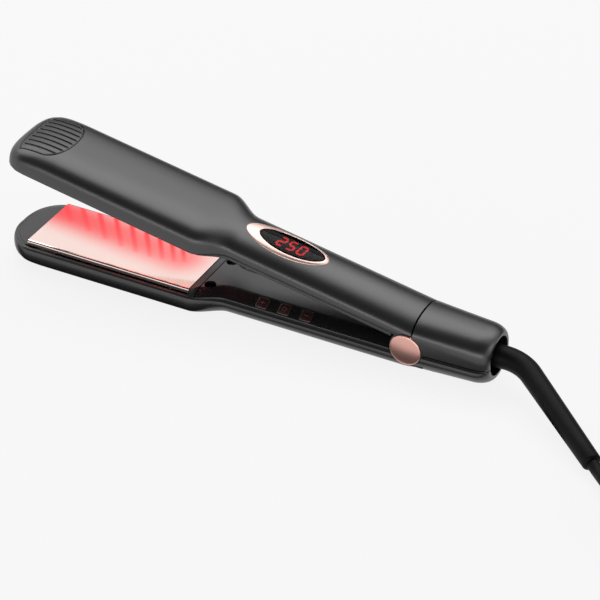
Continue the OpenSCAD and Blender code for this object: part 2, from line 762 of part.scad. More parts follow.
// Heater carriages, frames and electronics of the heads, drawn the same for both arms
module plate_shape() {
    r = plate_corner_r;
    difference() {
        union() {
            translate([-plate_w / 2, -plate_lip]) square([plate_w, plate_lip - plate_face - r]);
            translate([-plate_w / 2 + r, -plate_lip]) square([plate_w - 2 * r, plate_lip - plate_face]);
            for (s = [-1, 1]) translate([s * (plate_w / 2 - r), -plate_face - r]) circle(r);
        }
        translate([-plate_w / 2 + plate_t, -plate_lip - over])
            square([plate_w - 2 * plate_t, plate_lip + over - heater_z]);
    }
}
module heater_plate(slotted) {
    color("#e6c9c3") difference() {
        translate([plate_x0, 0, 0]) rotate([90, 0, 90]) linear_extrude(plate_l) plate_shape();
        if (slotted) translate([plate_mid_x, 0, -heater_z - over]) linear_extrude(heater_z + 2 * over) {
            square([slot_l - slot_w, slot_w], center = true);
            for (s = [-1, 1]) translate([s * (slot_l - slot_w) / 2, 0]) circle(slot_w / 2);
        }
    }
}
module heater(w, y) {
    block([plate_mid_x - heater_l / 2, plate_mid_x + heater_l / 2], [y - w / 2, y + w / 2],
        [-heater_z - heater_t, -heater_z]);
}
module insulator(w, y) {
    block([plate_mid_x - heater_l / 2, plate_mid_x + heater_l / 2], [y - w / 2, y + w / 2],
        [-clip_z, -clip_z + insulator_t]);
}
module heater_clip(slotted) {
    color("#b9bcc0") difference() {
        union() {
            block([clip_x0, clip_x1], [-tray_w / 2, tray_w / 2], [-clip_z - clip_t, -clip_z]);
            block([plate_x0 - clip_tab_l, plate_x1 + clip_tab_l], [-clip_tab_w / 2, clip_tab_w / 2],
                [-clip_z - clip_t, -clip_z]);
            both_sides() block([clip_x0, clip_x1], [tray_w / 2 - clip_t, tray_w / 2],
                [-clip_z, -heater_z]);
        }
        if (slotted) block([plate_mid_x - slot_l / 2 - 2, plate_mid_x + slot_l / 2 + 2],
            [-slot_w / 2 - 1, slot_w / 2 + 1], [-clip_z - 2 * clip_t, 0]);
    }
}
module thermistor() {
    color("#c9b37a") {
        block([plate_mid_x - 3, plate_mid_x + 3], [thermistor_y, thermistor_y + thermistor_t],
            [-heater_z - heater_t, -heater_z]);
        translate([plate_mid_x, thermistor_y + thermistor_t / 2, 0])
            upright(0.4, [-clip_z, -heater_z - heater_t]);
    }
}
module frame(tray_d, p) {
    x0 = plate_x0 - clip_tab_l;
    slot = clip_tab_w / 2 + gap;
    y = plate_w / 2;
    color("#232426") difference() {
        union() {
            translate([0, 0, -rim_gap - frame_t]) linear_extrude(frame_t) tip_outline(frame_inset, p);
            block([x0, plate_x0 - gap], [-tray_w / 2, tray_w / 2], [-tray_d - tray_t, -rim_gap]);
            block([x0, plate_x1 + clip_tab_l], [-tray_w / 2, tray_w / 2], [-tray_d - tray_t, -tray_d]);
            block([plate_x1 + gap, plate_x1 + clip_tab_l + 0.4], [-tray_w / 2, tray_w / 2],
                [-tray_d - tray_t, -rim_gap]);
            block([plate_x1 + gap, cover_x0 - fit], [-y, y], [-rim_gap - frame_t, -rim_gap]);
            for (x = [-spring_x, spring_x]) both_sides() translate([plate_mid_x + x, spring_y, 0])
                upright(1.6, [-tray_d - 0.5, -tray_d + 1.5]);
        }
        block([x0 - over, plate_x0], [-slot, slot], [-clip_z - clip_t - float_travel - gap, -clip_z + run]);
        block([plate_x1, plate_x1 + 3], [-slot, slot],
            [-clip_z - clip_t - float_travel - gap, -clip_z + run]);
        block([plate_x1, plate_x1 + 3], [-upper_heater_y1, upper_heater_y1],
            [-tray_d + 0.2, -heater_z - heater_t - float_travel - 1.4]);
    }
}
module plate_springs(tray_d) {
    h = tray_d - clip_z - clip_t;
    n = ceil((h - spring_coil_wire) / (0.88 * spring_coil_wire)) + 1;
    pitch = (h - spring_coil_wire) / (n - 1);
    color("#c4c7cb") for (x = [-spring_x, spring_x], y = [-spring_y, spring_y])
        translate([plate_mid_x + x, y, -tray_d]) rotate_extrude() for (k = [0:n - 1])
            translate([spring_r - spring_coil_wire / 2, spring_coil_wire / 2 + k * pitch])
                circle(spring_coil_wire / 2, $fn = 16);
}
module lower_frame() { base_frame() frame(lower_tray_d, lower_tip_p); }
module lower_heater_plate() { base_frame() heater_plate(false); }
module lower_ceramic_heater() { color("#d9d4c4") base_frame() heater(lower_heater_w, 0); }
module lower_insulator() { color("#e0c25a") base_frame() insulator(lower_heater_w, 0); }
module lower_heater_clip() { base_frame() heater_clip(false); }
module lower_thermistor() { base_frame() thermistor(); }
module lower_plate_springs() { base_frame() plate_springs(lower_tray_d); }
module upper_frame() {
    arm_frame() {
        frame(upper_tray_d, tip_p);
        color("#232426") for (x = [-spring_x + 8, spring_x - 8]) translate([plate_mid_x + x, 0, 0])
            upright(2, [-upper_tray_d - 0.5, -light_board_z - board_t]);
    }
}
module upper_heater_plate() { arm_frame() heater_plate(true); }
module upper_ceramic_heaters() {
    color("#d9d4c4") arm_frame() both_sides() heater(upper_heater_w, upper_heater_y);
}
module upper_insulator() {
    color("#e0c25a") arm_frame() both_sides() insulator(upper_heater_w, upper_heater_y);
}
module upper_heater_clip() { arm_frame() heater_clip(true); }
module upper_thermistor() { arm_frame() thermistor(); }
module upper_plate_springs() { arm_frame() plate_springs(upper_tray_d); }
module light_board() {
    l = slot_l - 2;
    color("#2f5d3a") arm_frame()
        block([plate_mid_x - l / 2, plate_mid_x + l / 2], [-slot_w / 2, slot_w / 2],
            [-light_board_z - board_t, -light_board_z]);
}
module light_emitters() {
    color("#d3202b") arm_frame() for (k = [0:emitter_count - 1])
        translate([plate_mid_x + (k - (emitter_count - 1) / 2) * emitter_pitch, 0, 0])
            upright(emitter_r, [-light_board_z, -emitter_face]);
}
module upper_leads() {
    color("#a33a2e") arm_frame() for (y = [-8, -6, 6, 8])
        tube(lead_route(plate_mid_x + heater_l / 2, -heater_z - heater_t / 2,
            bezel_x - display_board_l / 2, -display_board_z - board_t / 2, y, y), 1.2);
}

// Display in the upper handle
lens_z = lens_h - lens_t;
digit_z = lens_z - run - digit_t;
module_z = digit_z - module_t;
display_board_z = module_z - board_t;
module ellipse2d(a, b) {
    polygon([for (k = [0:ring_m - 1]) [a * cos(360 * k / ring_m), b * sin(360 * k / ring_m)]]);
}
function ellipse_ring(cx, a, b, zs, dz) = [for (k = [0:ring_m - 1])
    let (x = cx + a * cos(360 * k / ring_m), y = b * sin(360 * k / ring_m))
    [x, y, -(zs > 0 ? zs : upper_surface(x, y) + dz)]];
module display_bezel() {
    a = bezel_l / 2;
    b = bezel_w / 2;
    la = lens_l / 2 + fit;
    lb = lens_w / 2 + fit;
    s = bezel_lip + fit;
    color("#d9a797") arm_frame() difference() {
        loft([
            ellipse_ring(bezel_x, a, b, 0, 0.02), ellipse_ring(bezel_x, a, b, 0, bezel_rise),
            ellipse_ring(mix(bezel_x, lens_x, 0.4), mix(a, la, 0.4), mix(b, lb, 0.4), lens_h - 0.15, 0),
            ellipse_ring(lens_x, la + 0.6, lb + 0.6, lens_h, 0),
            ellipse_ring(lens_x, la, lb, lens_h - 0.1, 0),
            ellipse_ring(lens_x, la, lb, lens_z, 0),
            ellipse_ring(lens_x, la - 1, lb - 1, lens_z - run, 0),
            ellipse_ring(lens_x, la - 1, lb - 1, lens_z - ledge_t, 0),
            ellipse_ring(bezel_x, a - s - 1, b - s - 1, upper_handle_h - window_d, 0),
            ellipse_ring(bezel_x, a - s, b - s, upper_handle_h - window_d, 0),
            ellipse_ring(bezel_x, a - s, b - s, 0, 0.02)
        ], closed = true);
    }
}
module display_lens() {
    color("#141416") arm_frame() translate([lens_x, 0, -lens_h]) linear_extrude(lens_t)
        ellipse2d(lens_l / 2, lens_w / 2);
}
module display_module() {
    color("#26262a") arm_frame() block([lens_x - module_l / 2, lens_x + module_l / 2],
        [-module_w / 2, module_w / 2], [-module_z - module_t, -module_z]);
}
// Seven bars of a digit: top, upper left, upper right, middle, lower left, lower right, bottom
module digit(bars) {
    w = digit_w - digit_bar;
    h = digit_h / 2 - digit_bar / 2;
    flat = [[0, 1], [0, 0], [0, -1]];
    places = [[0, h, true], [-w / 2, h / 2, false], [w / 2, h / 2, false], [0, 0, true],
        [-w / 2, -h / 2, false], [w / 2, -h / 2, false], [0, -h, true]];
    for (k = [0:6]) if (bars[k] == 1) let (p = places[k], lean = p[1] * tan(digit_slant),
        size = p[2] ? [w - digit_bar - 0.3, digit_bar] : [digit_bar, h - digit_bar / 2 - 0.3])
        translate([p[0] + lean, p[1]]) square(size, center = true);
}
module display_digits() {
    two = [1, 0, 1, 1, 1, 0, 1];
    five = [1, 1, 0, 1, 0, 1, 1];
    zero = [1, 1, 1, 0, 1, 1, 1];
    color("#e0303a") arm_frame() translate([lens_x, 0, -digit_z - digit_t]) linear_extrude(digit_t)
        for (k = [0:2]) translate([(k - 1) * digit_pitch, 0]) digit([two, five, zero][k]);
}
module display_board() {
    color("#2f5d3a") arm_frame() block([bezel_x - display_board_l / 2, bezel_x + display_board_l / 2],
        [-display_board_w / 2, display_board_w / 2], [-display_board_z - board_t, -display_board_z]);
}

// Ribbed panel on the upper tip, shaped as a D
panel_x1 = tip_x + panel_margin + grip_l - panel_bow;
function panel_right(y, grow) = panel_x1 + grow + panel_bow * rounded(abs(y) / (grip_half_w + grow), 2.3);
function panel_left(y, grow) =
    tip_x + panel_margin - grow
        + (tip_round_l - 10) * (1 - rounded(abs(y) / (head_w / 2 - 3), tip_p));
function panel_ring(y, grow, top, depth) =
    let (x0 = panel_left(y, grow), x1 = max(x0 + 1, panel_right(y, grow)), n = 8)
    concat(
        [for (k = [0:n]) let (x = mix(x0, x1, k / n)) [x, y, -(upper_surface(x, y) + top)]],
        [for (k = [n:-1:0]) let (x = mix(x0, x1, k / n)) [x, y, -(upper_surface(x, y) - depth)]]
    );
groove_first = -(groove_count - 1) / 2 * groove_pitch;
grooves = [for (k = [0:groove_count - 1]) groove_first + k * groove_pitch];
module panel_pocket() {
    loft([for (a = [-90:10:90]) panel_ring((grip_half_w + fit) * sin(a), fit, 3, panel_t + 0.05)]);
}
module grip_panel() {
    steps = [[-0.5, 0], [-0.25, 1], [0.25, 1], [0.5, 0]];
    ends = [[0, 0.6], [0.3, 0.2], [1, 0], [2, 0]];
    rows = concat([for (e = ends) [-grip_half_w + e[0], e[1]]],
        [for (y = grooves, s = steps) [y + s[0] * groove_w, s[1]]],
        [for (k = [3:-1:0]) [grip_half_w - ends[k][0], ends[k][1]]]);
    color("#333436") arm_frame()
        loft([for (r = rows) panel_ring(r[0], 0, 0.3 - r[1] * groove_d, panel_t - 0.05)]);
}

// Hinge
module hinge_pin() {
    color("#b9bcc0") axis_frame() across(pin_r, [-cheek_y1, cheek_y1]);
}
module hinge_caps() {
    y1 = handle_w / 2 + cap_proud;
    color("#c98f80") axis_frame() both_sides() translate([0, cheek_y1, 0]) rotate([-90, 0, 0])
        rotate_extrude() polygon(concat([[0, 0], [cap_r, 0]],
            [for (a = [0:15:90]) [cap_r - 0.8 + 0.8 * cos(a), y1 - cheek_y1 - 0.9 + 0.6 * sin(a)]],
            [[cap_r * 0.6, y1 - cheek_y1 - 0.12], [cap_r * 0.3, y1 - cheek_y1 - 0.03], [0, y1 - cheek_y1]]));
}
module hinge_bushes() {
    y = barrel_w / 2;
    color("#d8d3c6") arm_axis_frame() both_sides() difference() {
        union() {
            across(bush_r, [y - bush_l, y]);
            across(bush_r + 1.2, [y, y + gap - 0.1]);
        }
        across(pin_r + run, [y - bush_l - over, y + over]);
    }
}
module hinge_barrel() {
    y = barrel_w / 2;
    chamber_y = y - bush_l;
    leg_y = chamber_y - 2.6;
    color("#242527") {
        arm_axis_frame() difference() {
            union() {
                across(barrel_r, [-y, y]);
                block([-tongue_l, 0], [-tongue_w / 2, tongue_w / 2],
                    [tongue_z0 + plane_rise, tongue_z1 + plane_rise]);
            }
            across(bush_r + run / 2, [-y - over, y + over]);
            across(barrel_r - barrel_wall, [-chamber_y, chamber_y]);
            block([0, 9], [-leg_y - 1.5, -leg_y + 1.5], [-barrel_r - over, 0]);
            for (x = tongue_screws) translate([x, 0, 0]) {
                upright(1.5, [0, 20]);
                upright(2.6 + fit, [0, tongue_z0 + plane_rise + 1.5]);
            }
        }
    }
}
module barrel_screws() {
    color("#8d9094") arm_frame() for (x = tongue_screws) translate([x, 0, 0]) {
        upright(1.3, [-tongue_z1 - 5.5, -tongue_z0 - 1]);
        upright(2.6, [-tongue_z0 - 1.5, -tongue_z0 - 0.3]);
    }
}
module opening_spring() {
    leg_y = barrel_w / 2 - bush_l - 2.6;
    pitch = spring_wire * 1.2;
    steps = 12 * spring_coils + 6;
    r = spring_coil_r;
    route = concat(
        [[r, -leg_y, -11.5], [r, -leg_y, -6], [r, -leg_y, -1.5]],
        [for (k = [0:steps]) [r * cos(30 * k), -leg_y + pitch * k / 12, r * sin(30 * k)]],
        [[-r, -leg_y + pitch * steps / 12, -1.4]]);
    color("#c4c7cb") axis_frame() spring_tube(route, spring_wire, 6);
}
module spring_tube(p, d, sides) {
    loft([for (i = [0:len(p) - 1])
        let (t = heading(p, i), u = unit(cross([0, 1, 0], t)), v = cross(t, u))
        [for (k = [0:sides - 1])
            p[i] + d / 2 * (v * cos(360 * k / sides) + u * sin(360 * k / sides))]]);
}
function from_arm(p) = let (z = plane_rise - p[2])
    [p[0] * cos(open_angle) + z * sin(open_angle), p[1],
        z * cos(open_angle) - p[0] * sin(open_angle) - plane_rise];
function round_hinge(r, a, y) = [r * sin(a), y, -plane_rise - r * cos(a)];
lead_r = barrel_r + 2.3;
module hinge_lead() {
    x0 = main_board_x1 - 1;
    z0 = terminal_h / 2 - main_board_z;
    color("#4a6fa5") base_frame() for (y = [0, 2.5]) tube(concat(
        [[x0, y, z0], [mix(x0, -lead_r, 0.23), y, z0], [mix(x0, -lead_r, 0.64), y, z0 - 3.9]],
        [for (a = [-10:20:170]) round_hinge(lead_r, a, y + 0.02 * a)],
        [from_arm([-12, y + 5, -12]), from_arm([-24, y + 5, -11]),
            from_arm([bezel_x + display_board_l / 2 + 8, y + 4, -display_board_z - board_t / 2]),
            from_arm([bezel_x + display_board_l / 2, y + 4, -display_board_z - board_t / 2])]), 1.4);
}

// Swivel at the tail
module swivel_collar() {
    color("#1f2022") base_frame() difference() {
        union() {
            along(core_r, [core_x0, chamber_x0 + 0.2]);
            along(collar_flange_r, [chamber_x0 + 0.2, recess_x - neck_bore_l - 0.1]);
            along(collar_r, [recess_x - neck_bore_l - 0.2, recess_x + collar_out]);
        }
        along(sleeve_r, [sleeve_x0, tail_l]);
        for (x = [core_x0 + 2, core_x0 + 7]) translate([x, 0, 0]) rotate([0, 90, 0]) difference() {
            cylinder(r = core_r + over, h = 3);
            cylinder(r = core_r - slip_ring_t, h = 3);
        }
    }
}
module slip_rings() {
    color("#c9a24a") base_frame() for (x = [core_x0 + 2, core_x0 + 7]) translate([x, 0, 0])
        rotate([0, 90, 0]) difference() {
            cylinder(r = core_r + 0.2, h = 3);
            translate([0, 0, -over]) cylinder(r = core_r - slip_ring_t, h = 3 + 2 * over);
        }
}
module brush_contacts() {
    color("#b98a3e") base_frame() {
        for (x = [core_x0 + 2.5, core_x0 + 7.5]) block([x, x + 2], [-6, 6], [-core_r - 2.2, -core_r - 0.3]);
        block([core_x0 + 1, core_x0 + 10.5], [-4, 4], [-core_r - 3.8, -core_r - 2.2]);
        block([core_x0 + 4, core_x0 + 8], [-2, 2], [-brush_foot_z, -core_r - 3.8]);
    }
}
function bend_point(a) = [sleeve_bend_x + sleeve_bend_r * sin(a), -sleeve_bend_r * (1 - cos(a)), 0];
function sleeve_point(l) = bend_point(sleeve_bend) + l * [cos(sleeve_bend), -sin(sleeve_bend), 0];
function sleeve_ring(p, a, r) = [for (k = [0:ring_sides - 1]) let (c = cos(360 * k / ring_sides))
    p + r * [c * sin(a), c * cos(a), -sin(360 * k / ring_sides)]];
module cord_sleeve() {
    l = sleeve_straight_l;
    n = sleeve_bend;
    r = sleeve_end_r;
    bend_l = sleeve_bend_r * n * PI / 180;
    bend_end_r = mix(sleeve_r, r, bend_l / (bend_l + l));
    color("#333436") base_frame() rotate([sleeve_roll, 0, 0]) loft(concat(
        [sleeve_ring([sleeve_x0, 0, 0], 0, sleeve_r)],
        [for (k = [0:8]) sleeve_ring(bend_point(n * k / 8), n * k / 8, mix(sleeve_r, bend_end_r, k / 8))],
        [sleeve_ring(sleeve_point(l - 1.5), n, r), sleeve_ring(sleeve_point(l - 0.5), n, r - 0.4),
            sleeve_ring(sleeve_point(l), n, r - 1.4)]));
}

// Cord, coiled beside the tail
layer_turns = coil_turns / coil_layers;
function coil_phase(t) = t / layer_turns;
function coil_radius(t) = let (u = coil_phase(t), k = floor(u), f = u - k)
    coil_r - coil_step * layer_turns * (k % 2 == 0 ? f : 1 - f);
function coil_height(t) = coil_step * (
    ease((t - layer_turns + 0.25) / 0.5) + ease((t - 2 * layer_turns + 0.25) / 0.5)
    + ease((t - 3 * layer_turns + 0.25) / 0.5));
function coil_point(t) = coil_centre + [
    coil_radius(t) * cos(coil_start + 360 * t), coil_radius(t) * sin(coil_start + 360 * t), coil_height(t)];
coil_route = [for (k = [0:loop_m * coil_turns]) coil_point(k / loop_m)];
coil_gap = min([for (i = [0:len(coil_route) - 1], j = [i + loop_m / 2:len(coil_route) - 1])
    norm(coil_route[i] - coil_route[j])]) - cord_d;
echo("least gap of the cord coil to itself", coil_gap);
coil_way = unit(coil_route[1] - coil_route[0]);
coil_out_way = unit(coil_route[len(coil_route) - 1] - coil_route[len(coil_route) - 2]);
cord_route = concat(
    [sleeve_end, sleeve_end + cord_d * sleeve_way],
    cord_points,
    [coil_route[0] - cord_d * coil_way, coil_route[0]]);
coil_end = coil_route[len(coil_route) - 1];
plug_z = plug_t / 2;
end_lead = 7;
function end_point(a) = let (t = ease(a / end_turn), r = coil_r + end_r0 * ease(a / 50))
    [coil_centre[0] + r * cos(coil_start + a), coil_centre[1] + r * sin(coil_start + a),
        mix(coil_end[2], plug_z, t)];
plug_way = [-sin(coil_start + end_turn), cos(coil_start + end_turn), 0];
plug_at = end_point(end_turn) + plug_gap * plug_way;
end_route = concat([coil_end, coil_end + end_lead * coil_out_way],
    [for (a = [20:10:end_turn]) end_point(a)],
    [plug_at - 20 * plug_way, plug_at - end_lead * plug_way, plug_at]);
module cord_lead() { color("#2d2e30") tube(cord_route, cord_d, 12); }
module cord_coil() { color("#2d2e30") tube(coil_route, cord_d, loop_sides); }
module cord_end() { color("#2d2e30") tube(end_route, cord_d, 12); }
module cord_tie() {
    r0 = coil_r - coil_step * layer_turns - cord_r - 1;
    r1 = coil_r + cord_r + 0.1;
    z0 = -cord_r - 0.05;
    z1 = coil_step * (coil_layers - 1) + cord_r + 0.1;
    color("#4a4b4e") translate(coil_centre) rotate([0, 0, tie_angle]) difference() {
        block([r0 - tie_t, r1 + tie_t], [-tie_w / 2, tie_w / 2], [z0 - tie_t, z1 + tie_t]);
        block([r0, r1], [-tie_w, tie_w], [z0, z1]);
    }
}

// Plug
module plug_frame() {
    translate(plug_at) rotate([0, 0, coil_start + end_turn + 90]) children();
}
module plug_body() {
    w = plug_w / 2;
    n = plug_neck_w / 2;
    color("#2b2c2e") plug_frame() difference() {
        translate([0, 0, -plug_z]) linear_extrude(plug_t) polygon([[0, -n], [plug_neck_l, -n],
            [plug_neck_l + 9, -w + 1.5], [plug_neck_l + 11, -w], [plug_l, -w], [plug_l, w],
            [plug_neck_l + 11, w], [plug_neck_l + 9, w - 1.5], [plug_neck_l, n], [0, n]]);
        for (y = [-1, 1]) translate([0, y * plug_pin_pitch / 2, 0])
            along(plug_root_r, [plug_l - plug_root_l, plug_l + over]);
    }
}
module plug_pins() {
    color("#c4c7cb") plug_frame() for (y = [-1, 1]) translate([0, y * plug_pin_pitch / 2, 0]) {
        along(plug_root_r, [plug_l - plug_root_l, plug_l]);
        along(plug_pin_r, [plug_l, plug_l + plug_pin_l]);
    }
}

lower_shell();
tail_cover();
tail_screws();
lower_inner_cover();
lower_cover_screws();
power_button();
plus_button();
minus_button();
button_board();
tact_switches();
main_board();
board_parts();
lower_frame();
lower_heater_plate();
lower_ceramic_heater();
lower_insulator();
lower_heater_clip();
lower_thermistor();
lower_plate_springs();
lower_leads();
supply_leads();
hinge_pin();
hinge_caps();
hinge_bushes();
opening_spring();
hinge_barrel();
barrel_screws();
hinge_lead();
upper_shell();
grip_panel();
upper_inner_cover();
upper_cover_screws();
display_bezel();
display_lens();
display_module();
display_digits();
display_board();
upper_frame();
upper_heater_plate();
upper_ceramic_heaters();
upper_insulator();
upper_heater_clip();
upper_thermistor();
upper_plate_springs();
upper_leads();
light_board();
light_emitters();
brush_contacts();
slip_rings();
swivel_collar();
cord_sleeve();
cord_lead();
cord_coil();
cord_tie();
cord_end();
plug_body();
plug_pins();
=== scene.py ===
"""Looks of a hair straightener: shells, display, buttons, plates, cord and studio."""

import json
import math

import bmesh
import bpy
from bpy.props import FloatProperty, FloatVectorProperty, IntProperty, PointerProperty
from mathutils import Matrix, Vector


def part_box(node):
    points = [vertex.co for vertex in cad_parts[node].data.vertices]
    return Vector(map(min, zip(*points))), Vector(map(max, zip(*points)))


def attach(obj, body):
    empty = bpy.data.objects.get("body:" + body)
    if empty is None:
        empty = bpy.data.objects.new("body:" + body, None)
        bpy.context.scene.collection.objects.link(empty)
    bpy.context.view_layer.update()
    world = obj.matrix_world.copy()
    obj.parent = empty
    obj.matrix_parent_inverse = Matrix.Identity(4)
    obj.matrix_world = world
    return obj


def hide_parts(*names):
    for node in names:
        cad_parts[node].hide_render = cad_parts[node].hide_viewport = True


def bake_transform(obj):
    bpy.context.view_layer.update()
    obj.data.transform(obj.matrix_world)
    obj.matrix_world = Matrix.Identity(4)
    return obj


bl_info = {
    "name": "Hair straightener",
    "version": (1, 0, 0),
    "blender": (4, 5, 0),
    "location": "View3D > Sidebar > Straightener",
    "description": "Builds the looks of a hair straightener around its packed parts",
    "category": "Object",
}

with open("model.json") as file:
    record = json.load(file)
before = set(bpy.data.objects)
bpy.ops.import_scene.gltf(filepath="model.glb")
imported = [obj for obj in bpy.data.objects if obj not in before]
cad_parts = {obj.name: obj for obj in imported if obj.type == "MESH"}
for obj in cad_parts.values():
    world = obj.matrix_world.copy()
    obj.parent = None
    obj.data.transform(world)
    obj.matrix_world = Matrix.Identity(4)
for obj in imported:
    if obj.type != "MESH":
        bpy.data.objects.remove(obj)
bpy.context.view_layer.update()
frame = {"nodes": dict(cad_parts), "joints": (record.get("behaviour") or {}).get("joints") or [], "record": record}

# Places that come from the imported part
JOINTS = {joint["name"]: joint for joint in frame["joints"]}
HINGE = Vector(JOINTS["arm_hinge"]["pos_m"])
OPEN_ANGLE = math.radians(-JOINTS["arm_hinge"]["range_deg"][0])
PLANE_Z = JOINTS["cord_swivel"]["pos_m"][2]
PLANE_RISE = PLANE_Z - HINGE.z
SHELL_LOW, SHELL_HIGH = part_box("lower_shell")
TIP_X = SHELL_LOW.x - HINGE.x
TAIL_L = SHELL_HIGH.x - HINGE.x
HEAD_W = SHELL_HIGH.y - SHELL_LOW.y
PLATE_LOW, PLATE_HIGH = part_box("lower_heater_plate")
PLATE_X0 = PLATE_LOW.x - HINGE.x
PLATE_X1 = PLATE_HIGH.x - HINGE.x
BELLY_H = PLANE_Z - SHELL_LOW.z

# Clearances and small sizes of the shells, in metres
GAP = 0.0003
FIT = 0.00015
OVER = 0.001
EDGE_H = 0.0025
EDGE_TUCK = 0.0012
UPPER_EDGE_TUCK = 0.0005
SEAM_T = 0.0006
BELLY_FLAT = 0.0003
RIM_ROUND = 0.0003
TIP_P = 3.7
LOWER_TIP_P = 2.0
CAP_FACE_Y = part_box("hinge_caps")[1].y
CAP_SEAT_Y = CAP_FACE_Y - 0.0022


def length_property(name, description, default):
    return FloatProperty(name=name, description=description, default=default, unit="LENGTH")


def angle_property(name, description, degrees):
    return FloatProperty(name=name, description=description, default=math.radians(degrees), subtype="ANGLE")


def colour_property(name, description, default):
    return FloatVectorProperty(name=name, description=description, default=default, subtype="COLOR")


class StraightenerShape(bpy.types.PropertyGroup):
    """Sizes of the shells; heights and depths are from the plane of the plates."""

    handle_w: length_property("Handle width", "Width of the handle", 0.0356)
    tail_w: length_property("Tail width", "Width of the tail at its end", 0.0318)
    head_h: length_property("Head height", "Height of the upper head above the plates", 0.0183)
    handle_h: length_property("Handle height", "Height of the upper handle above the plates", 0.0171)
    tail_h: length_property("Tail height", "Height of the tail above the plates at its end", 0.0144)
    tail_d: length_property("Tail depth", "Depth of the tail below the plates at its end", 0.0163)
    wall: length_property("Wall", "Wall of the shells", 0.002)
    ring_points: IntProperty(
        name="Points around", description="Points around the outside of a shell", default=72, min=24
    )
    station_step: length_property("Station step", "Distance between cross-sections of a shell", 0.0018)


class StraightenerCord(bpy.types.PropertyGroup):
    """Sizes of the cord."""

    diameter: length_property("Diameter", "Diameter of the mains cord", 0.007)
    turns: IntProperty(name="Turns", description="Loops in the coil of spare cord", default=7, min=1)
    coil_r: length_property("Coil radius", "Mean radius of the outermost loop", 0.043)
    coil_step: length_property("Coil step", "Step from one loop to the next", 0.0076)
    sleeve_r0: length_property("Sleeve radius at the tail", "Radius of the bend protector there", 0.00645)
    sleeve_r1: length_property("Sleeve radius at its end", "Radius of the bend protector there", 0.00525)


class StraightenerColours(bpy.types.PropertyGroup):
    """Colours of the main surfaces."""

    shell: colour_property("Shell", "Satin shells", (0.016, 0.016, 0.0165))
    cover: colour_property("Cover", "Gloss inner covers", (0.010, 0.010, 0.011))
    rose: colour_property("Rose metal", "Bezel around the display", (0.80, 0.57, 0.51))
    cap: colour_property("Cap metal", "Round caps over the hinge", (0.78, 0.43, 0.37))
    plate: colour_property("Plate", "Coating of the heater plates", (0.98, 0.76, 0.70))
    glow: colour_property("Glow", "Red light of the emitters and digits", (1.0, 0.035, 0.05))


class StraightenerStage(bpy.types.PropertyGroup):
    """Camera and light."""

    azimuth: angle_property("Azimuth", "Direction the camera looks from", 27.78)
    elevation: angle_property("Elevation", "Height of the camera above the horizon", 34.56)
    distance: length_property("Distance", "Distance of the camera", 1.45)
    lens: FloatProperty(name="Lens", description="Focal length in millimetres", default=158.56)
    ambient: FloatProperty(name="Ambient", description="Strength of the world light", default=0.30)


# Small maths


def limit1(t):
    return max(0.0, min(1.0, t))


def ease(t):
    t = limit1(t)
    return t * t * (3 - 2 * t)


def mix(a, b, t):
    return a + (b - a) * t


def rounded(u, p):
    return max(0.0, 1 - limit1(u) ** p) ** (1 / p)


def spaced(a, b, step):
    n = max(1, round((b - a) / step))
    return [mix(a, b, k / n) for k in range(n + 1)]


def lengths_along(points):
    """The distance along a line to each of its points."""
    out = [0.0]
    for a, b in zip(points, points[1:]):
        out.append(out[-1] + math.dist(a, b))
    return out


def resample(points, n):
    """The same open line through n points, evenly spaced along it."""
    lengths = lengths_along(points)
    out = []
    k = 0
    for i in range(n):
        want = lengths[-1] * i / (n - 1)
        while k < len(points) - 2 and lengths[k + 1] < want:
            k += 1
        span = max(lengths[k + 1] - lengths[k], 1e-12)
        t = limit1((want - lengths[k]) / span)
        out.append(tuple(mix(a, b, t) for a, b in zip(points[k], points[k + 1])))
    return out


def corner(a, b, c, radius, steps=5):
    """Points round the corner at b, between the points a and c."""
    a, b, c = Vector(a), Vector(b), Vector(c)
    r = min(radius, (a - b).length * 0.45, (c - b).length * 0.45)
    p, q = b + (a - b).normalized() * r, b + (c - b).normalized() * r
    shares = [k / steps for k in range(steps + 1)]
    return [tuple((1 - t) ** 2 * p + 2 * t * (1 - t) * b + t * t * q) for t in shares]


def softened(points, radius, steps=5):
    """A closed outline with its corners rounded."""
    out = []
    for before, here, after in zip(points[-1:] + points, points, points[1:] + points[:1]):
        out += corner(before, here, after, radius, steps)
    return out


def rectangle(x0, y0, x1, y1):
    return [(x0, y0), (x1, y0), (x1, y1), (x0, y1)]


def oval(a, b, x=0.0, y=0.0, n=64):
    turns = [2 * math.pi * k / n for k in range(n)]
    return [(x + a * math.cos(t), y + b * math.sin(t)) for t in turns]


# Widths and heights of the arms, x from the hinge axis


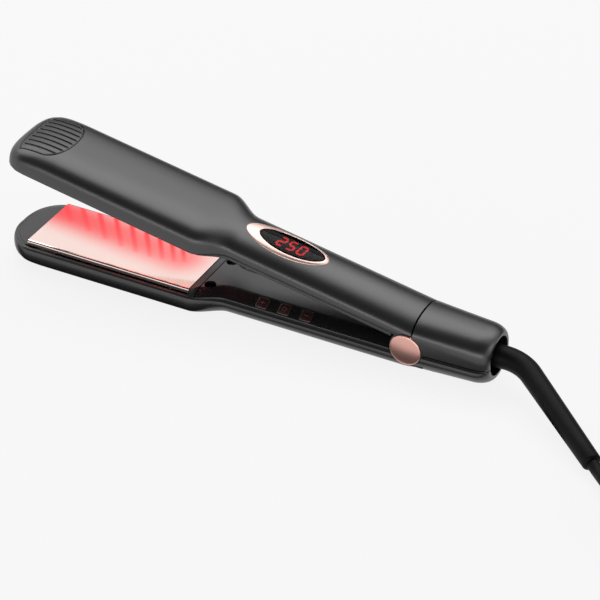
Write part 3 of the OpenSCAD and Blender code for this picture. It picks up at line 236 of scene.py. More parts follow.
class Outline:
    """Widths and heights of both arms along their length."""

    rim_gap = 0.0032
    seam_gap = 0.0052
    upper_tip_h = 0.0094
    lower_tip_h = 0.006
    tip_round_l = 0.020
    tip_slope_l = 0.0285
    neck_x0 = PLATE_X1
    neck_l = 0.0205
    end_round_l = 0.009
    recess_r = 0.0112
    recess_d = 0.0095
    end_r = 0.0123
    tail_x0 = 0.004
    # How blunt the outside and the room inside are at the head, at the handle and at the tail's end
    top_blunt = ((3.3, 2.08, 2.43), (3.7, 2.8, 2.7))
    belly_blunt = ((3.3, 2.04, 1.87), (3.3, 2.45, 2.1))

    def __init__(self, context):
        self.s = context.scene.straightener_shape
        self.cavity_x0 = PLATE_X0 - 0.0015
        self.recess_x = TAIL_L - self.recess_d
        self.chamber_x0 = self.recess_x - 0.0076
        self.solid_x = self.chamber_x0 - 0.002

    def neck_t(self, x):
        return ease((x - self.neck_x0) / self.neck_l)

    def tail_t(self, x):
        return limit1(x / TAIL_L)

    def tip_t(self, x, length):
        return (TIP_X + length - max(x, TIP_X)) / length

    def end_t(self, x):
        return 1 - rounded((x - TAIL_L + self.end_round_l) / self.end_round_l, 2)

    def along(self, x, head, handle, tail):
        """A value that goes from head to handle over the neck, and to tail behind the hinge."""
        return mix(mix(head, handle, self.neck_t(x)), tail, self.tail_t(x))

    def half_w(self, x, p=TIP_P):
        wide = self.along(x, HEAD_W, self.s.handle_w, self.s.tail_w) / 2
        return wide * rounded(self.tip_t(x, self.tip_round_l), p)

    def top_h(self, x):
        full = self.along(x, self.s.head_h, self.s.handle_h, self.s.tail_h)
        return mix(self.upper_tip_h, full, rounded(self.tip_t(x, self.tip_slope_l), 2))

    def belly_d(self, x):
        full = mix(BELLY_H + BELLY_FLAT, self.s.tail_d, self.tail_t(x))
        return mix(self.lower_tip_h, full, rounded(self.tip_t(x, self.tip_slope_l), 2))

    def rim_h(self, x):
        return mix(self.rim_gap, self.seam_gap, self.neck_t(x))

    def nose_lift(self, x, lift, length):
        return lift * (1 - rounded(1 - (x - TIP_X) / length, 2))

    def upper_rim(self, x):
        return self.rim_h(x) + self.nose_lift(x, 0.001, 0.003)

    def lower_rim(self, x):
        raised = self.rim_h(x) + self.nose_lift(x, 0.0014, 0.004)
        return mix(raised, self.rim_gap, ease((x + 0.002) / 0.008))

    def shoulder(self, z0, z1):
        return z0 + min(EDGE_H, (z1 - z0) * 0.45)

    def upper_surface(self, x, y):
        zc = self.shoulder(self.upper_rim(x), self.top_h(x))
        w = max(self.half_w(x), 1e-6)
        return zc + (self.top_h(x) - zc) * rounded(abs(y) / w, self.along(x, *self.top_blunt[0]))

    def hollow(self, x):
        return self.cavity_x0 + 0.0001 < x < self.solid_x + 0.0001

    def stations(self, x1, p):
        """Cross-section places from the tip to x1, even around the nose."""
        nose = []
        for k in range(15):
            f = 0.97 * k / 14
            nose.append(TIP_X + self.tip_round_l * (1 - (1 - f**p) ** (1 / p)))
        places = nose + spaced(nose[-1], x1, self.s.station_step)[1:]
        return sorted(places + [self.cavity_x0, self.cavity_x0 + 0.0003])

    def ring(self, x, z0, zc, z1, blunt, w, tuck=EDGE_TUCK, flat=1.0, e=0.0):
        """Closed cross-section of a shell that opens towards the plane of the plates.

        It goes from z0 over the shoulder at zc to z1 or flat, and turns round as e goes to 1.
        """
        n, room_n = (self.along(x, *values) for values in blunt)
        rise = min(EDGE_H, zc - z0) * 0.35
        half = [(w - tuck - RIM_ROUND, z0), (w - tuck - RIM_ROUND * 0.3, z0 + RIM_ROUND * 0.1)]
        half += [(w - tuck, z0 + RIM_ROUND * 0.6), (w - 0.3 * tuck, z0 + rise)]
        arc = [(y, min(flat, zc + (z1 - zc) * share)) for y, share in arch(w, n, 200)]
        outline = half[-1:] + arc + [(-half[-1][0], half[-1][1])]
        outer = half[:-1] + resample(outline, self.s.ring_points) + [(-y, z) for y, z in half[-2::-1]]
        placed = []
        for y, z in outer:
            r = max(math.hypot(y, z), 1e-9)
            placed.append((mix(y, self.end_r * y / r, e), mix(z, self.end_r * z / r, e)))
        wi = max(mix(w, self.end_r, e) - self.s.wall - EDGE_TUCK * 0.6, w * 0.2)
        hi = min(z1, flat) - self.s.wall - z0 if self.hollow(x) else 0.0001
        inner = [(-y, z0 + hi * share) for y, share in arch(wi, room_n, 32)]
        return [(x, y, z) for y, z in placed + inner]


def arch(w, n, steps):
    """Points of a blunt arch from w to -w, with their share of its height."""
    out = []
    for k in range(steps + 1):
        a = math.pi * k / steps
        c, s = math.cos(a), abs(math.sin(a))
        out.append((w * math.copysign(abs(c) ** (2 / n), c), s ** (2 / n)))
    return out


def on_lower(p):
    """A point (x, y, distance below the plane of the plates) of the lower arm."""
    return Vector((p[0] + HINGE.x, p[1], PLANE_Z - p[2]))


def on_upper(p):
    """A point (x, y, distance above the plane of the plates) of the open upper arm."""
    z = p[2] + PLANE_RISE
    c, s = math.cos(OPEN_ANGLE), math.sin(OPEN_ANGLE)
    return Vector((HINGE.x + p[0] * c + z * s, p[1], HINGE.z - p[0] * s + z * c))


def about_hinge(p):
    return Vector((p[0] + HINGE.x, p[1], p[2] + HINGE.z))


# Meshes


def in_scene(name, data):
    obj = bpy.data.objects.new(name, data)
    bpy.context.scene.collection.objects.link(obj)
    return obj


def new_object(name, bm, angle=32):
    bmesh.ops.remove_doubles(bm, verts=bm.verts, dist=1e-7)
    bmesh.ops.dissolve_degenerate(bm, edges=bm.edges, dist=1e-7)
    bmesh.ops.recalc_face_normals(bm, faces=bm.faces)
    mesh = bpy.data.meshes.new(name)
    bm.to_mesh(mesh)
    bm.free()
    obj = in_scene(name, mesh)
    smooth(obj, angle)
    return obj


def smooth(obj, angle=32):
    obj.data.shade_smooth()
    obj.data.set_sharp_from_angle(angle=math.radians(angle))


def add_solid(bm, rings, place=Vector, closed=False):
    """Adds a solid through closed rings of equal length; closed joins the last ring to the first."""
    rows = [[bm.verts.new(place(p)) for p in ring] for ring in rings]
    n = len(rows[0])
    pairs = list(zip(rows, rows[1:])) + ([(rows[-1], rows[0])] if closed else [])
    for a, b in pairs:
        for j in range(n):
            bm.faces.new((a[j], a[(j + 1) % n], b[(j + 1) % n], b[j]))
    if not closed:
        bm.faces.new(rows[0][::-1])
        bm.faces.new(rows[-1])


def loft(name, rings, place=Vector, closed=False, angle=32):
    bm = bmesh.new()
    add_solid(bm, rings, place, closed)
    return new_object(name, bm, angle)


def layers(outline, low, high):
    """A flat outline at two levels of z."""
    return [[(x, y, z) for x, y in outline] for z in (low, high)]


def prism(name, outline, low, high, place=Vector):
    return loft(name, layers(outline, low, high), place)


def cylinder(name, r, low, high, x=0.0, y=0.0, place=Vector):
    return prism(name, oval(r, r, x, y), low, high, place)


def spans(y0, y1):
    """The stretch from y0 to y1 and its mirror image, both from low to high."""
    return (-y1, -y0), (y0, y1)


def along_x(p):
    """Turns a solid drawn up the z axis to lie along x in the plane of the plates."""
    return Vector((p[2] + HINGE.x, p[0], p[1] + PLANE_Z))


def across_hinge(p):
    """Turns a solid drawn up the z axis to lie across the hinge, along y."""
    return Vector((p[0] + HINGE.x, p[2], p[1] + HINGE.z))


def combine(obj, tools, operation="DIFFERENCE"):
    """Cuts the tools out of an object, or joins them to it, and removes them."""
    for tool in tools:
        mod = obj.modifiers.new("combine", "BOOLEAN")
        mod.operation = operation
        mod.solver = "EXACT"
        mod.object = tool
        with bpy.context.temp_override(object=obj, active_object=obj):
            bpy.ops.object.modifier_apply(modifier=mod.name)
        bpy.data.objects.remove(tool)
    return obj


def dress(obj, body, slot, nodes=(), angle=32, material=None):
    """Gives a finished piece its material, body and the nodes that it stands for."""
    obj.data.materials.clear()
    obj.data.materials.append(material or finish(slot))
    if obj.type == "MESH":
        smooth(obj, angle)
    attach(obj, body)
    if nodes:
        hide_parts(*nodes)
    return obj


def sweep(name, points, radii, sides=32, up=Vector((0, 0, 1))):
    """A round tube of changing radius along a line that is never parallel to up."""
    rings = []
    for i, (p, r) in enumerate(zip(points, radii)):
        t = (points[min(i + 1, len(points) - 1)] - points[max(i - 1, 0)]).normalized()
        u = up.cross(t).normalized()
        v = t.cross(u)
        rings.append([p + u * x + v * y for x, y in oval(r, r, n=sides)])
    return loft(name, rings)


# Shader node groups and materials

WHITE = (1, 1, 1, 1)
BLACK = (0, 0, 0, 1)
SOCKET_KINDS = {1: "NodeSocketFloat", 3: "NodeSocketVector", 4: "NodeSocketColor"}
EMITTERS = 9


def feed(tree, socket, value):
    """Links an input if the value is a socket, or else sets it."""
    if isinstance(value, bpy.types.NodeSocket):
        tree.links.new(value, socket)
    else:
        socket.default_value = value


def node(tree, kind, inputs=(), **settings):
    """A new shader node with its settings, and with its inputs linked or set."""
    new = tree.nodes.new("ShaderNode" + kind)
    for key, value in settings.items():
        setattr(new, key, value)
    for key, value in dict(inputs).items():
        feed(tree, new.inputs[key], value)
    return new


def maths(tree, operation, *values):
    return node(tree, "Math", enumerate(values), operation=operation).outputs[0]


def new_group(name, inputs, outputs):
    """A new node group, and the sockets inside it; an output's value is its number of parts."""
    tree = bpy.data.node_groups.new(name, "ShaderNodeTree")
    for label, value in inputs.items():
        parts = len(value) if isinstance(value, tuple) else 1
        socket = tree.interface.new_socket(label, in_out="INPUT", socket_type=SOCKET_KINDS[parts])
        socket.default_value = value
    for label, parts in outputs.items():
        tree.interface.new_socket(label, in_out="OUTPUT", socket_type=SOCKET_KINDS[parts])
    return tree, tree.nodes.new("NodeGroupInput").outputs, tree.nodes.new("NodeGroupOutput").inputs


def group_node(tree, name, maker, inputs):
    """A node of a shared group, which maker makes the first time."""
    shared = bpy.data.node_groups.get(name) or maker()
    return node(tree, "Group", inputs, node_tree=shared).outputs


def fine_grain_group():
    """Moulded grain: a fine height and a slowly varying roughness."""
    inputs = {"Scale": 2500.0, "Roughness": 0.4, "Variation": 0.05}
    tree, start, end = new_group("Moulded grain", inputs, {"Height": 1, "Roughness": 1})
    place = node(tree, "TexCoord").outputs["Object"]
    grain = node(tree, "TexNoise", {"Vector": place, "Scale": start["Scale"], "Detail": 3.0})
    cloud = node(tree, "TexNoise", {"Vector": place, "Scale": 35.0, "Detail": 5.0})
    centred = maths(tree, "SUBTRACT", cloud.outputs["Fac"], 0.5)
    feed(tree, end["Height"], grain.outputs["Fac"])
    spread = maths(tree, "MULTIPLY_ADD", centred, start["Variation"], start["Roughness"])
    feed(tree, end["Roughness"], spread)
    return tree


def worn_edges_group():
    """Colour that lightens along worn edges and varies a little over the surface."""
    inputs = {"Colour": (0.5, 0.5, 0.5, 1), "Edge colour": (0.6, 0.6, 0.6, 1), "Wear": 0.5}
    tree, start, end = new_group("Worn edges", inputs, {"Colour": 4})
    sharpness = node(tree, "NewGeometry").outputs["Pointiness"]
    ramp = node(tree, "MapRange", {"Value": sharpness, "From Min": 0.52, "From Max": 0.62})
    place = node(tree, "TexCoord").outputs["Object"]
    patch = node(tree, "TexNoise", {"Vector": place, "Scale": 160.0, "Detail": 4.0})
    broken = maths(tree, "MULTIPLY", ramp.outputs["Result"], patch.outputs["Fac"])
    amount = node(tree, "Math", {0: broken, 1: start["Wear"]}, operation="MULTIPLY", use_clamp=True)
    feed(tree, end["Colour"], blended(tree, amount.outputs[0], start["Colour"], start["Edge colour"]))
    return tree


def blended(tree, factor, a, b):
    inputs = {"Factor": factor, "A": a, "B": b}
    return node(tree, "Mix", inputs, data_type="RGBA").outputs["Result"]


def light_streak_group():
    """A soft streak of light on a surface: 1 along a line, fading to its sides and its end."""
    inputs = {"Start": (0.0, 0.0, 0.0), "Way": (1.0, 0.0, 0.0), "Length": 0.02, "Width": 0.002}
    tree, start, end = new_group("Light streak", inputs | {"End share": 0.5}, {"Mask": 1})

    def vectors(operation, inputs, result="Vector"):
        return node(tree, "VectorMath", inputs, operation=operation).outputs[result]

    place = node(tree, "TexCoord").outputs["Object"]
    offset = vectors("SUBTRACT", {0: place, 1: start["Start"]})
    along = vectors("DOT_PRODUCT", {0: offset, 1: start["Way"]}, "Value")
    held = maths(tree, "MINIMUM", maths(tree, "MAXIMUM", along, 0.0), start["Length"])
    nearest = vectors("SCALE", {0: start["Way"], "Scale": held})
    away = vectors("DISTANCE", {0: offset, 1: nearest}, "Value")
    across = {"Value": away, "From Max": start["Width"], "To Min": 1.0, "To Max": 0.0}
    side = node(tree, "MapRange", across, interpolation_type="SMOOTHERSTEP")
    lengthwise = {"Value": held, "From Max": start["Length"], "To Min": 1.0, "To Max": start["End share"]}
    fade = node(tree, "MapRange", lengthwise)
    feed(tree, end["Mask"], maths(tree, "MULTIPLY", side.outputs["Result"], fade.outputs["Result"]))
    return tree


SHADER_INPUTS = {
    "metallic": "Metallic",
    "specular": "Specular IOR Level",
    "coat": "Coat Weight",
    "coat_roughness": "Coat Roughness",
    "clear": "Transmission Weight",
    "ior": "IOR",
    "glow_strength": "Emission Strength",
}


def surface(
    name, colour, roughness, grain=2500.0, bump=0.05, variation=0.05, edge=None, wear=0.5, glow=None, **plain
):
    """A procedural material: colour with worn edges, varied roughness and a fine bump.

    plain holds values for the shader's own inputs, named as in SHADER_INPUTS.
    """
    material = bpy.data.materials.get(name)
    if material:
        return material
    material = bpy.data.materials.new(name)
    material.use_nodes = True
    tree = material.node_tree
    shader = tree.nodes["Principled BSDF"].inputs
    edge = edge or tuple(min(1.0, c * 1.35 + 0.006) for c in colour)
    inputs = {"Colour": (*colour, 1), "Edge colour": (*edge, 1), "Wear": wear}
    worn = group_node(tree, "Worn edges", worn_edges_group, inputs)
    inputs = {"Scale": grain, "Roughness": roughness, "Variation": variation}
    grained = group_node(tree, "Moulded grain", fine_grain_group, inputs)
    relief = node(tree, "Bump", {"Strength": bump, "Distance": 0.0002, "Height": grained["Height"]})
    feed(tree, shader["Base Color"], worn["Colour"])
    feed(tree, shader["Roughness"], grained["Roughness"])
    feed(tree, shader["Normal"], relief.outputs["Normal"])
    for key, value in {"coat_roughness": 0.08, "ior": 1.5, **plain}.items():
        shader[SHADER_INPUTS[key]].default_value = value
    if glow:
        shader["Emission Color"].default_value = (*glow, 1)
    return material


# Where the streaks start and end; for x and for y, the first and the last streak and the bow between
STREAK_STARTS = ((-0.2452, -0.1527, 0.0334), (0.0299, 0.0105, -0.0084))
STREAK_ENDS = ((-0.2248, -0.1462, 0.0404), (0.0072, 0.0008, -0.0284))


def bowed(a, b, bow, t):
    return mix(a, b, t) + bow * t * (1 - t)


def lit_plate(colour, glow):
    """The coated plate with the red streaks and the red haze that the light strip throws on it."""
    name = "Rose ceramic plate in red light"
    if bpy.data.materials.get(name):
        return bpy.data.materials[name]
    material = plate_surface(name, colour)
    tree = material.node_tree
    shader = tree.nodes["Principled BSDF"].inputs
    plain = shader["Base Color"].links[0].from_socket

    def streak(x0, y0, x1, y1, width, share):
        a = Vector((x0 + HINGE.x, y0, PLATE_HIGH.z))
        b = Vector((x1 + HINGE.x, y1, PLATE_HIGH.z))
        inputs = {"Start": a, "Way": (b - a).normalized(), "Length": (b - a).length, "Width": width}
        return group_node(tree, "Light streak", light_streak_group, inputs | {"End share": share})["Mask"]

    def tinted(before, mask, strength, tint):
        return blended(tree, maths(tree, "MULTIPLY", mask, strength), before, (*tint, 1))

    haze = streak(-0.234, 0.013, -0.150, 0.004, width=0.026, share=0.75)
    bright = None
    for k in range(EMITTERS):
        t = k / (EMITTERS - 1)
        ends = [bowed(*values, t) for values in STREAK_STARTS + STREAK_ENDS]
        one = streak(*ends, width=mix(0.0031, 0.0025, t), share=0.3)
        bright = maths(tree, "MAXIMUM", bright, one) if bright else one
    hazed = tinted(plain, haze, 0.97, (1.0, 0.085, 0.095))
    feed(tree, shader["Base Color"], tinted(hazed, bright, 0.9, (0.25, 0.0, 0.005)))
    feed(tree, shader["Emission Color"], tinted(BLACK, bright, 0.75, glow))
    shader["Emission Strength"].default_value = 1.0
    return material


def plate_surface(name, colour):
    return surface(
        name, colour, 0.07, metallic=0.9, grain=4000.0, bump=0.006, variation=0.03, edge=(1.0, 0.86, 0.82)
    )


def finishes():
    """The material of each of the record's slots."""
    c = bpy.context.scene.straightener_colours
    return {
        "shell_plastic": surface("Satin shell plastic", c.shell, 0.34, bump=0.03, specular=0.8),
        "grip_plastic": surface("Ribbed grip plastic", c.shell, 0.36, bump=0.05, specular=0.76),
        "cover_plastic": surface(
            "Gloss cover plastic", c.cover, 0.27, bump=0.01, variation=0.04, specular=0.8
        ),
        "frame_plastic": surface("Heat proof frame plastic", (0.018, 0.017, 0.018), 0.38, specular=0.7),
        "button_plastic": surface(
            "Rose black button plastic", (0.030, 0.013, 0.012), 0.25, edge=(0.42, 0.2, 0.16), wear=0.8,
            coat=0.3
        ),
        "bezel_metal": surface(
            "Polished rose metal", c.rose, 0.44, metallic=1.0, bump=0.008, variation=0.03,
            edge=(1.0, 0.84, 0.77)
        ),
        "cap_metal": surface(
            "Satin rose metal", c.cap, 0.30, metallic=0.9, bump=0.015, variation=0.04, edge=(0.9, 0.62, 0.55)
        ),
        "lens_plastic": surface(
            "Smoked display lens", (0.06, 0.05, 0.05), 0.03, bump=0.0, variation=0.015, wear=0.0, clear=1.0,
            ior=1.17
        ),
        "digits": surface(
            "Glowing digit", (0.25, 0.004, 0.006), 0.25, bump=0.0, glow=c.glow, glow_strength=10.0
        ),
        "emitter": surface(
            "Glowing emitter", (0.5, 0.01, 0.012), 0.3, bump=0.0, glow=c.glow, glow_strength=3.0
        ),
        "plate_ceramic": plate_surface("Rose ceramic plate", c.plate),
        "lit_plate": lit_plate(c.plate, c.glow),
        "black_steel": surface("Blackened steel", (0.05, 0.05, 0.052), 0.35, metallic=0.8, bump=0.02),
        "heater_ceramic": surface("White ceramic heater", (0.72, 0.68, 0.58), 0.6),
        "insulator_film": surface("Amber film", (0.62, 0.34, 0.05), 0.25, bump=0.02),
        "steel": surface("Plain steel", (0.55, 0.55, 0.57), 0.3, metallic=1.0, bump=0.02),
        "bush_plastic": surface("Cream bush plastic", (0.7, 0.66, 0.56), 0.42),
        "board": surface("Green circuit board", (0.02, 0.12, 0.045), 0.35),
        "electronics": surface("Black component", (0.02, 0.02, 0.022), 0.4),
        "thermistor": surface("Tan thermistor", (0.5, 0.36, 0.16), 0.5),
        "lead_red": surface("Red silicone lead", (0.42, 0.03, 0.02), 0.5),
        "lead_blue": surface("Blue silicone lead", (0.05, 0.15, 0.4), 0.5),
        "contact_brass": surface("Brass contact", (0.72, 0.5, 0.2), 0.28, metallic=1.0),
        "cord_rubber": surface(
            "Satin cord rubber", (0.004, 0.004, 0.0042), 0.5, grain=1800.0, bump=0.02, specular=0.12
        ),
        "tie_rubber": surface("Tie rubber", (0.07, 0.07, 0.075), 0.55, bump=0.08),
        "plug_plastic": surface("Plug plastic", (0.03, 0.03, 0.032), 0.38, bump=0.05),
        "pin_metal": surface("Nickel pin", (0.62, 0.61, 0.58), 0.22, metallic=1.0, bump=0.01),
    }


def finish(slot):
    return finishes()[slot]


# Pieces

CAMERA_TARGET = Vector((-0.07164, -0.00189, 0.0))
FLOOR_Z = -0.0002
FLOOR_WHITE_SHARE = 0.85


class StraightenerStageOperator(bpy.types.Operator):
    """Makes the camera, the studio light and the floor"""

    bl_idname = "straightener.stage"
    bl_label = "Studio"

    def execute(self, context):
        stage = context.scene.straightener_stage
        camera_at(stage)
        white_world(stage.ambient)
        centre = Vector((-0.05, 0.0, 0.02))
        # name, place, size, the power of a light, and what it is turned towards
        soft_box("Top light", (-0.5, 0.68, 1.47), (2.2, 1.1), 15.0, centre)
        soft_box("Front light", (0.2, -1.8, 0.3), (2.2, 0.4), 9.0, centre)
        soft_box("Tail light", (1.6, 0.1, 0.9), (0.7, 0.7), 3.0, centre)
        # Painted dark reflections: dark sheets that only gloss and glass see, two large and far away and a strip
        # on the floor just in front of the part
        dark_reflection_sheet("Dark backdrop front", (0, -1.42, 1.85), (4.6, 3.6), centre)
        dark_reflection_sheet("Dark backdrop back", (0, 2.45, 0.6), (5.4, 1.2), centre)
        dark_reflection_sheet("Dark backdrop low", (0, -0.0305, 0.0015), (0.6, 0.016), Vector((0, -0.0305, 1)))
        floor_with_shadow()
        context.scene.view_settings.view_transform = "Standard"
        return {"FINISHED"}


def camera_at(stage):
    data = bpy.data.cameras.new("Camera")
    data.lens = stage.lens
    data.sensor_width = 36
    data.clip_start, data.clip_end = 0.05, 50
    camera = in_scene("Camera", data)
    a, e = stage.azimuth, stage.elevation
    back = Vector((math.sin(a) * math.cos(e), -math.cos(a) * math.cos(e), math.sin(e)))
    camera.location = HINGE + CAMERA_TARGET + back * stage.distance
    camera.rotation_euler = (-back).to_track_quat("-Z", "Y").to_euler()
    bpy.context.scene.camera = camera


def seen_rays(tree):
    """1 for the rays that show the background: from the camera, off gloss and through glass."""
    rays = node(tree, "LightPath").outputs
    unbent = maths(tree, "MAXIMUM", rays["Is Camera Ray"], rays["Is Glossy Ray"])
    return maths(tree, "MAXIMUM", unbent, rays["Is Transmission Ray"])


def white_world(ambient):
    world = bpy.data.worlds.new("Studio")
    bpy.context.scene.world = world
    world.use_nodes = True
    tree = world.node_tree
    tree.nodes.clear()
    soft = node(tree, "Background", {"Color": WHITE, "Strength": ambient})
    seen = node(tree, "Background", {"Color": WHITE, "Strength": 1.0})
    both = node(tree, "MixShader", {"Fac": seen_rays(tree), 1: soft.outputs[0], 2: seen.outputs[0]})
    node(tree, "OutputWorld", {"Surface": both.outputs[0]})


def soft_box(name, place, size, power, target):
    data = bpy.data.lights.new(name, "AREA")
    data.shape = "RECTANGLE"
    data.size, data.size_y = size
    data.energy = power
    box = in_scene(name, data)
    box.location = place
    box.rotation_euler = (target - Vector(place)).to_track_quat("-Z", "Y").to_euler()


def flat_sheet(name, place, size, turn, material):
    bm = bmesh.new()
    bmesh.ops.create_grid(bm, x_segments=1, y_segments=1, size=0.5)
    for v in bm.verts:
        v.co = Vector(place) + turn @ Vector((v.co.x * size[0], v.co.y * size[1], 0))
    sheet = new_object(name, bm)
    sheet.data.materials.append(material)
    return sheet


def dark_reflection_sheet(name, place, size, target):
    """A dark sheet turned towards the target, which gloss shows and the camera doesn't; it paints dark reflections
    on the shells and neither lights nor shades anything.
    """
    turn = (target - Vector(place)).to_track_quat("Z", "Y").to_matrix()
    reflection_black = surface("Black cloth", (0.012, 0.012, 0.012), 0.9, specular=0.0)
    sheet = flat_sheet(name, place, size, turn, reflection_black)
    sheet.visible_camera = False
    sheet.visible_diffuse = False
    sheet.visible_shadow = False


def floor_with_shadow():
    """A pale floor that is white where the camera sees it, apart from the object's shadow."""
    material = bpy.data.materials.new("Pale floor")
    material.use_nodes = True
    tree = material.node_tree
    shader = tree.nodes["Principled BSDF"]
    shader.inputs["Base Color"].default_value = (0.8, 0.8, 0.8, 1)
    shader.inputs["Roughness"].default_value = 0.9
    shader.inputs["Specular IOR Level"].default_value = 0.0
    lit = node(tree, "Emission", {"Color": WHITE})
    share = maths(tree, "MULTIPLY", seen_rays(tree), FLOOR_WHITE_SHARE)
    both = node(tree, "MixShader", {"Fac": share, 1: shader.outputs[0], 2: lit.outputs[0]})
    feed(tree, tree.nodes["Material Output"].inputs["Surface"], both.outputs[0])
    floor = flat_sheet("Floor", (0, 0, FLOOR_Z), (12.0, 12.0), Matrix.Identity(3), material)


class StraightenerCordOperator(bpy.types.Operator):
    """Makes the bend protector and the mains cord with its coil of spare length"""

    bl_idname = "straightener.cord"
    bl_label = "Cord"

    def execute(self, context):
        c = context.scene.straightener_cord
        sleeve = bend_protector(c)
        route = cord_route(c)
        cord = cord_curve(c, route)
        strap = coil_tie(c)
        return {"FINISHED"}


SLEEVE_X0 = 0.0345
SLEEVE_BEND_X = TAIL_L + 0.0042
SLEEVE_BEND = math.radians(39.5)
SLEEVE_BEND_R = 0.027
SLEEVE_STRAIGHT_L = 0.0693
COIL_CENTRE = Vector((0.293, -0.051, 0.0044))
COIL_START = math.radians(230.7)
COIL_LAYERS = 4
CORD_POINTS = [(0.236, -0.059, 0.005), (0.246, -0.068, 0.0046), (0.254, -0.075, 0.0044)]
END_TURN = 130
END_OUT = 0.0085
PLUG_Z = 0.00685
PLUG_GAP = 0.028


def sleeve_line(c):
    """Centre line of the bend protector, which drops to the floor as it bends."""
    drop = PLANE_Z - c.sleeve_r1 - 0.0001
    side = SLEEVE_BEND_R * (1 - math.cos(SLEEVE_BEND)) + SLEEVE_STRAIGHT_L * math.sin(SLEEVE_BEND)
    roll = math.asin(drop / side)
    flat = [(SLEEVE_X0, 0.0), (TAIL_L - 0.002, 0.0)]
    for k in range(25):
        a = SLEEVE_BEND * k / 24
        flat.append((SLEEVE_BEND_X + SLEEVE_BEND_R * math.sin(a), -SLEEVE_BEND_R * (1 - math.cos(a))))
    x, y = flat[-1]
    for t in (0.02, 0.2, 0.4, 0.6, 0.8, 0.97, 1.0):
        reach = SLEEVE_STRAIGHT_L * t
        flat.append((x + reach * math.cos(SLEEVE_BEND), y - reach * math.sin(SLEEVE_BEND)))
    return [Vector((x + HINGE.x, y * math.cos(roll), PLANE_Z + y * math.sin(roll))) for x, y in flat]


def bend_protector(c):
    line = sleeve_line(c)
    ahead = (line[-1] - line[-2]).normalized()
    line = line[:-2] + [line[-1] - ahead * d for d in (0.0015, 0.0011, 0.0007, 0.0003, 0.0)]
    start = 2
    lengths = lengths_along(line[start:])
    radii = [c.sleeve_r0] * start + [mix(c.sleeve_r0, c.sleeve_r1, l / lengths[-1]) for l in lengths]
    # the end is rounded
    for back, cut in enumerate((0.0014, 0.0007, 0.0003, 0.00008)):
        radii[-1 - back] -= cut
    sleeve = sweep("cord_sleeve_piece", line, radii, sides=48)
    return dress(sleeve, "swivel", "cord_rubber", ["cord_sleeve"])


def coil_point(c, t):
    """A point of the coil after t turns: it spirals in and out, a layer higher each time."""
    per_layer = c.turns / COIL_LAYERS
    layer, share = divmod(t / per_layer, 1.0)
    if layer >= COIL_LAYERS:
        layer, share = COIL_LAYERS - 1, 1.0
    inward = share if int(layer) % 2 == 0 else 1 - share
    r = c.coil_r - c.coil_step * per_layer * inward
    z = c.coil_step * sum(ease((t - k * per_layer + 0.25) / 0.5) for k in range(1, COIL_LAYERS))
    a = COIL_START + 2 * math.pi * t
    return COIL_CENTRE + Vector((r * math.cos(a), r * math.sin(a), z))


def curve_through(points, steps):
    """Points along a smooth line through the given ones."""
    out = []
    n = len(points)
    for i in range(n - 1):
        p0, p1, p2, p3 = (points[max(0, min(n - 1, i + k))] for k in (-1, 0, 1, 2))
        for k in range(steps):
            t = k / steps
            straight = 2 * p1 + (p2 - p0) * t
            bend = (2 * p0 - 5 * p1 + 4 * p2 - p3) * t * t
            out.append(0.5 * (straight + bend + (3 * p1 - p0 - 3 * p2 + p3) * t**3))
    return out + [points[-1]]


def cord_route(c):
    """Centre line of the whole cord, from the bend protector to the plug."""
    line = sleeve_line(c)
    way = (line[-1] - line[-2]).normalized()
    per_turn = 48
    coil = [coil_point(c, k / per_turn) for k in range(per_turn * c.turns + 1)]
    into = (coil[1] - coil[0]).normalized()
    out = (coil[-1] - coil[-2]).normalized()
    lead = [line[-1], line[-1] + way * c.diameter]
    lead += [Vector(p) for p in CORD_POINTS] + [coil[0] - into * c.diameter, coil[0]]
    end = [coil[-1], coil[-1] + out * c.diameter]
    for a in range(20, END_TURN + 1, 10):
        r = c.coil_r + END_OUT * ease(a / 50)
        end.append(beside_coil(r, a, mix(coil[-1].z, PLUG_Z, ease(a / END_TURN))))
    way_out = plug_way()
    at = plug_place(c)
    end += [at - way_out * 0.020, at - way_out * c.diameter, at]
    return curve_through(lead, 6) + coil[1:-1] + curve_through(end, 5)


def beside_coil(r, degrees, z):
    """A point at radius r round the coil, at an angle from where the coil starts."""
    a = COIL_START + math.radians(degrees)
    return Vector((COIL_CENTRE.x + r * math.cos(a), COIL_CENTRE.y + r * math.sin(a), z))


def plug_way():
    a = COIL_START + math.radians(END_TURN)
    return Vector((-math.sin(a), math.cos(a), 0))


def plug_place(c):
    return beside_coil(c.coil_r + END_OUT, END_TURN, PLUG_Z) + plug_way() * PLUG_GAP


def cord_curve(c, route):
    data = bpy.data.curves.new("cord_piece", "CURVE")
    data.dimensions = "3D"
    spline = data.splines.new("POLY")
    spline.points.add(len(route) - 1)
    for point, place in zip(spline.points, route):
        point.co = (*place, 1)
    spline.use_smooth = True
    data.bevel_depth = c.diameter / 2
    data.bevel_resolution = 5
    data.use_fill_caps = True
    cord = in_scene("cord_piece", data)
    return dress(cord, "swivel", "cord_rubber", ["cord_lead", "cord_coil", "cord_end"])


STRAP_TURN = math.radians(146)
STRAP_T = 0.0007
STRAP_W = 0.010
STRAP_GAP = 0.0002
STRAP_CORNER_R = 0.003


